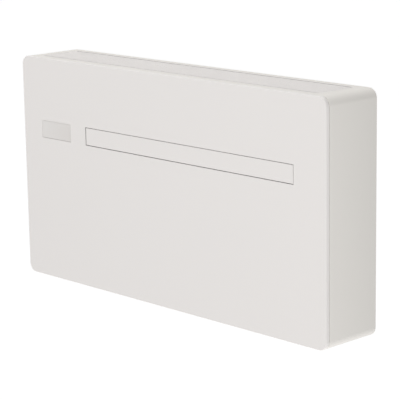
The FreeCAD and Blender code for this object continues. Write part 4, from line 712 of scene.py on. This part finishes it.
def make_panel():
    """A moulded tray with a soft front edge, and windows for the flap and the display."""
    (left, right), (front, rear), (low, high) = span(PANEL_LOW, PANEL_HIGH)
    box, inside, skirt = (left, right, low, high), front + PANEL_SKIN, PANEL_SKIN
    mesh = bmesh.new()
    profile = [(skirt, inside), (skirt, rear - 0.3), (skirt - 0.3, rear), (0.3, rear), (0.0, rear - 0.3)]
    profile += round_over(rear, front, PANEL_EDGE, 10)
    rings = [add_ring(mesh, rounded_loop(box, CORNER, inset, 16), depth, upright)
             for inset, depth in profile]
    for first, second in zip(rings, rings[1:]):
        bridge(mesh, first, second)
    faces, backs = [rings[-1]], [rings[0]]
    thin = front + WINDOW_EDGE
    for window, radius, rebate in ((outlet_window(), 0.9, REBATE), (display_window(), 0.8, 0.05)):
        behind = (window[0] - rebate, window[1] + rebate, window[2] - 0.05, window[3] + 0.05)
        steps = [(behind, 0.0, inside), (behind, 0.0, thin), (window, 0.0, thin)]
        steps += [(window, inset, depth) for inset, depth in round_over(inside, front, 0.25, 4, -1)]
        walls = [add_ring(mesh, rounded_loop(box, radius, inset, 5), depth, upright)
                 for box, inset, depth in steps]
        for first, second in zip(walls, walls[1:]):
            bridge(mesh, first, second)
        backs.append(walls[0])
        faces.append(walls[-1])
    cap(mesh, faces)
    cap(mesh, backs)
    return hand_over(close_mesh("panel_shell", mesh), "chassis", "panel_white", "front_panel")


def arc(middle_y, middle_z, radius, first, last, steps):
    """Points of (y, z) on an arc between two angles, counted from the rear and turning upwards."""
    turns = [math.radians(first + (last - first) * step / steps) for step in range(steps + 1)]
    return [(middle_y + radius * math.cos(turn), middle_z + radius * math.sin(turn)) for turn in turns]


def make_leaf():
    """The long flap: a flat leaf with soft edges, a rounded nose and a roll round its hinge."""
    (left, right), (front, rear), (low, high) = span(FLAP_LOW, FLAP_HIGH)
    skin, roll, soft, rib = 3.0, (rear - front) / 2, 0.45, 3.0
    hinge_y, hinge_z = front + roll, low + roll
    points = arc(front + soft, high - soft, soft, 180, 90, 5)
    points += [(front + skin - FIT, high), (front + skin, high - FIT)]
    points += [(front + skin, high - 3), (front + skin + rib, high - 3),
               (front + skin + rib, high - 5), (front + skin, high - 5)]
    lean = math.degrees(math.acos((front + skin - hinge_y) / roll))
    points += arc(hinge_y, hinge_z, roll, lean, -90, 28)
    points += arc(front + FLAP_NOSE, low + FLAP_NOSE, FLAP_NOSE, 270, 180, 10)
    mesh = bmesh.new()
    ends = [[mesh.verts.new(Vector((x, y, z)) * MM) for y, z in points] for x in (left, right)]
    bridge(mesh, *ends)
    for ring in ends:
        mesh.faces.new(ring)
    piece = close_mesh("flap_leaf", mesh, 0.3, 60.0)
    return hand_over(piece, "flap", "panel_white", "outlet_flap")


def make_pane():
    """The display window: a flat pane with soft edges in front of a wider rim."""
    (left, right), (front, rear), (low, high) = span(PANE_LOW, PANE_HIGH)
    wide_gap_right, wide_gap_below = 0.7, 0.6
    gaps = (FIT, -wide_gap_right, wide_gap_below, -FIT)
    window = [edge + gap for edge, gap in zip(display_window(), gaps)]
    shoulder = PANEL_LOW.y / MM + PANEL_SKIN
    profile = [(PANE_RIM - 4.0, rear, (left, right, low, high)), (0.0, shoulder, (left, right, low, high))]
    mesh = bmesh.new()
    rings = [add_ring(mesh, rounded_loop(box, 0.8, inset, 5), depth, upright)
             for inset, depth, box in profile]
    profile = [(0.0, shoulder)] + round_over(shoulder, front, 0.4, 5)
    rings += [add_ring(mesh, rounded_loop(window, 0.8, inset, 5), depth, upright)
              for inset, depth in profile]
    for first, second in zip(rings, rings[1:]):
        bridge(mesh, first, second)
    cap(mesh, [rings[0]])
    cap(mesh, [rings[-1]])
    return hand_over(close_mesh("display_pane", mesh), "chassis", "display_grey", "display_window")


# ---- case and grille ---------------------------------------------------------------------------

SHEET = 1.5
LIP = 12.0


def make_case():
    """Painted sheet wrapped round the cabinet: a bent lip in front, the intake window on top."""
    (left, right), (front, rear), (low, high) = span(CASE_LOW, CASE_HIGH)
    (grille_left, grille_right), (grille_front, grille_rear), _ = span(GRILLE_LOW, GRILLE_HIGH)
    stops = (grille_left - FIT, grille_right + FIT)
    window = (grille_front - FIT, grille_rear + FIT)
    bend = 1.5
    outer = [(0.0, rear), (0.0, window[1]), (0.0, window[0])] + round_over(rear, front, bend, 5)
    inner = [(LIP, front), (LIP, front + SHEET), (SHEET + 0.4, front + SHEET), (SHEET, front + SHEET + 0.4),
             (SHEET, window[0]), (SHEET, window[1]), (SHEET, rear)]
    mesh = bmesh.new()
    corner_steps = 16
    box = (left, right, low, high)
    rings = [add_ring(mesh, rounded_loop(box, CORNER, inset, corner_steps, stops), depth, upright)
             for inset, depth in outer + inner]
    first_stop = 2 * (corner_steps + 1)
    count = len(rings)
    windows = {1, count - 3}
    for index in range(count):
        bridge(mesh, rings[index], rings[(index + 1) % count], {first_stop} if index in windows else ())
    outside, inside = rings[1:3], rings[-3:-1][::-1]
    ends = [(ring[first_stop], ring[first_stop + 1]) for ring in outside]
    backs = [(ring[first_stop], ring[first_stop + 1]) for ring in inside]
    around = [ends[0][0], ends[0][1], ends[1][1], ends[1][0]]
    behind = [backs[0][0], backs[0][1], backs[1][1], backs[1][0]]
    bridge(mesh, around, behind)
    piece = close_mesh("case_wrap", mesh, 0.3, 60.0)
    drain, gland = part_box("drain_spout"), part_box("cable_gland")
    tools = []
    for corners, radius in ((drain, 12.0), (gland, 9.3)):
        middle = (corners[0] + corners[1]) / 2 / MM
        tools.append(((middle.x, middle.y, low - 5), (middle.x, middle.y, low + 5), radius))
    drill(piece, "case_drill", tools)
    piece.data.set_sharp_from_angle(angle=math.radians(50))
    return hand_over(piece, "chassis", "case_white", "case_shell")


def make_grille():
    """Lengthwise slats in a rim, flush with the top, over a few lower cross ribs."""
    (left, right), (front, rear), (low, high) = span(GRILLE_LOW, GRILLE_HIGH)
    rim, slat, box = 4.0, 6.0, (left, right, front, rear)
    mesh = bmesh.new()
    profile = [(rim, low), (0.0, low)] + round_over(low, high, 0.4, 4)
    profile += [(rim - inset, depth) for inset, depth in reversed(round_over(low, high, 0.4, 4))]
    rings = [add_ring(mesh, rounded_loop(box, 1.0, min(inset, rim), 4), depth, level)
             for inset, depth in profile]
    for index in range(len(rings)):
        bridge(mesh, rings[index], rings[(index + 1) % len(rings)])
    frame_piece = close_mesh("grille_rim", mesh)
    usual_pitch = 8.5
    pitch_count = round((rear - front - 2 * rim) / usual_pitch)
    pitch = (rear - front - 2 * rim) / pitch_count
    y, z = front + rim + pitch, (low + high) / 2
    slats = bar_row("grille_slats", (left + rim - 1, y, z), (right - rim + 1, y, z), (slat, high - low),
                    pitch_count - 1, (0, pitch, 0), "panel_white", 0.8, 4)
    rib_pitch = 130
    rib_count = round((right - left) / rib_pitch)
    gap = (right - left) / rib_count
    ribs = bar_row("grille_ribs", (left + gap, front + 3, low + 2), (left + gap, rear - 3, low + 2),
                   (2.0, 4.0), rib_count - 1, (gap, 0, 0), "panel_white", 0.3, 2)
    return hand_over(merge("intake_grille", frame_piece, slats, ribs), "grille", "panel_white", "top_grille")


def make_filter_net():
    """Two woven filter nets: crossing round threads in each frame."""
    (left, right), (front, rear), (low, high) = span(*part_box("filter_meshes"))
    middle, pitch, thread, weave = (low + high) / 2, 2.0, 0.34, 0.12
    edge = (span(*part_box("filter_frames"))[0][0] - left) * -1
    pieces = []
    for start, end in ((left, -edge - FIT), (edge + FIT, right)):
        along = int((end - start) / pitch)
        across = int((rear - front) / pitch)
        gap_x, gap_y = (end - start) / along, (rear - front) / across
        first_y, first_x = front + gap_y / 2, start + gap_x / 2
        under, above = middle - weave, middle + weave
        pieces.append(bar_row("warp", (start, first_y, under), (end, first_y, under),
                              (thread, thread), across, (0, gap_y, 0), "filter_mesh", 0.1, 1))
        pieces.append(bar_row("weft", (first_x, front, above), (first_x, rear, above),
                              (thread, thread), along, (gap_x, 0, 0), "filter_mesh", 0.1, 1))
    return hand_over(merge("filter_net", *pieces), "grille", "filter_mesh", "filter_meshes")


def make_guard():
    """Upright fins between two rails, with a wire along their middle, that keep fingers out."""
    (left, right), (front, rear), (low, high) = span(GUARD_LOW, GUARD_HIGH)
    rail, fin, middle = 1.5, 1.2, (front + rear) / 2
    count = round((right - left) / 17) + 1
    gap = (right - left - fin) / (count - 1)
    fins = bar_row("guard_fins", (left + fin / 2, middle, low), (left + fin / 2, middle, high),
                   (fin, rear - front), count, (gap, 0, 0), "black_plastic", 0.4, 3)
    rails = bar_row("guard_rails", (left, middle, low + rail / 2), (right, middle, low + rail / 2),
                    (rear - front, rail), 2, (0, 0, high - low - rail), "black_plastic", 0.3, 2)
    wire_z = (low + high) / 2
    rod = bar_row("guard_wire", (left, rear - 0.75, wire_z), (right, rear - 0.75, wire_z),
                  (1.5, 1.6), 1, (0, 0, 0), "bright_steel", 0.7, 4)
    return hand_over(merge("finger_guard", fins, rails, rod), "chassis", "black_plastic", "outlet_guard")


# ---- coils, ducts and sheet parts ---------------------------------------------------------------


def make_fins(node, long_axis, tilt):
    """A stack of thin fins between a coil's end plates; tilt turns their upright side about X."""
    (left, right), (front, rear), (low, high) = span(*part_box(node))
    pitch, sheet = 1.9, 0.25
    if long_axis == "x":
        lean = math.radians(tilt)
        wide = high - low - (rear - front) * math.tan(lean)
        wide /= math.cos(lean) - math.sin(lean) * math.tan(lean)
        deep = ((rear - front) - wide * math.sin(lean)) / math.cos(lean)
        middle = Vector((left, (front + rear) / 2, (low + high) / 2))
        reach = Vector((0, math.sin(lean), math.cos(lean))) * wide / 2
        count, step = int((right - left) / pitch), (pitch, 0, 0)
        rows = bar_row(node + "_stack", middle - reach, middle + reach, (sheet, deep), count, step,
                       "fin_aluminium", 0.1, 1)
    else:
        count, step = int((high - low) / pitch), (0, 0, pitch)
        middle = (left + right) / 2
        rows = bar_row(node + "_stack", (middle, front, low), (middle, rear, low), (right - left, sheet),
                       count, step, "fin_aluminium", 0.1, 1)
    return rows


def make_coils():
    """Both coils' fin stacks."""
    for node, long_axis, tilt in (("evaporator_fins", "x", 22.0), ("condenser_fins", "z", 0.0)):
        hand_over(make_fins(node, long_axis, tilt), "chassis", "fin_aluminium", node)


SOFTENED = {
    "rear_chassis": 0.4, "wall_bracket": 0.4, "duct_collars": 0.5, "wall_seal": 1.2, "drain_spout": 0.3,
    "cable_gland": 0.4, "outlet_frame": 0.3, "filter_frames": 0.3, "base_pan": 0.4,
    "electrical_lid": 0.4, "compressor_partition": 0.3,
}


def make_softened():
    """Parts of sheet, moulding and foam that keep their shape but get rounded edges."""
    body_of_node = {name: body for body, names in frame["record"]["behaviour"]["bodies"].items()
                    for name in names}
    for node, width in SOFTENED.items():
        hand_over(soft_copy(node, width), body_of_node[node], SLOT_OF_NODE[node], node)


# ---- studio ------------------------------------------------------------------------------------


def make_camera():
    """A long lens four metres off, a little above the cabinet and well round to its right."""
    azimuth, elevation, tilt = math.radians(46.394), math.radians(12.497), math.radians(-0.957)
    low, high = cad_bounds
    aim = (Vector(low) + Vector(high)) / 2 + Vector((0.0400, -0.0031, -0.0241))
    flat = math.cos(elevation)
    back = Vector((math.sin(azimuth) * flat, -math.cos(azimuth) * flat, math.sin(elevation)))
    sideways = (-back).cross(Vector((0, 0, 1))).normalized()
    upwards = sideways.cross(-back)
    right = sideways * math.cos(tilt) + upwards * math.sin(tilt)
    up = upwards * math.cos(tilt) - sideways * math.sin(tilt)
    camera = bpy.data.objects.new("camera", bpy.data.cameras.new("camera"))
    camera.data.lens, camera.data.sensor_width = 155.7, 36.0
    turn = Matrix((right, up, back)).transposed().to_4x4()
    camera.matrix_world = Matrix.Translation(aim + back * 4.0036) @ turn
    bpy.context.collection.objects.link(camera)
    bpy.context.scene.camera = camera


def area_light(name, place, aim, size, power):
    """A soft rectangular light in metres and watts."""
    lamp = bpy.data.lights.new(name, "AREA")
    lamp.shape, lamp.size, lamp.size_y, lamp.energy = "RECTANGLE", size[0], size[1], power
    holder = bpy.data.objects.new(name, lamp)
    holder.location = place
    holder.rotation_euler = (Vector(aim) - Vector(place)).to_track_quat("-Z", "Y").to_euler()
    bpy.context.collection.objects.link(holder)


def make_floor():
    """A wide plain floor, bright enough to look white."""
    room_below = 2.6
    reach, drop = 80.0, cad_bounds[0][2] - room_below
    data = bpy.data.meshes.new("floor")
    corners = [(-reach, -reach, drop), (reach, -reach, drop), (reach, reach, drop), (-reach, reach, drop)]
    data.from_pydata(corners, [], [(0, 1, 2, 3)])
    floor = bpy.data.objects.new("floor", data)
    bpy.context.collection.objects.link(floor)
    material, _, surface = finish("studio_floor", 0.9, Base_Color=(0.9, 0.9, 0.9, 1.0),
                                  Emission_Color=(1.0, 1.0, 1.0, 1.0))
    surface.inputs["Emission Strength"].default_value = FLOOR_GLOW
    data.materials.append(material)


FLOOR_GLOW = 0.63
SKY = 0.42


def make_studio():
    """A pale floor, an even white surround and soft lights in front and above."""
    make_floor()
    world = bpy.data.worlds.new("studio")
    world.use_nodes = True
    tree = world.node_tree
    backdrop = tree.nodes["Background"]
    backdrop.inputs["Color"].default_value = (1.0, 1.0, 1.0, 1.0)
    path = add(tree, "ShaderNodeLightPath")
    wire(tree, spread(tree, path.outputs["Is Camera Ray"], SKY, 1.0), backdrop.inputs["Strength"])
    bpy.context.scene.world = world
    area_light("front_light", (2.3, -3.0, -0.3), (0.1, -0.1, 0), (2.4, 2.0), 21)
    area_light("top_light", (-0.4, -0.5, 3.2), (0, 0, 0), (3.0, 3.0), 73)
    bpy.context.scene.view_settings.view_transform = "Standard"


dress_frame()
make_camera()
make_studio()
make_panel()
make_leaf()
make_pane()
make_case()
make_grille()
make_filter_net()
make_guard()
make_coils()
make_softened()
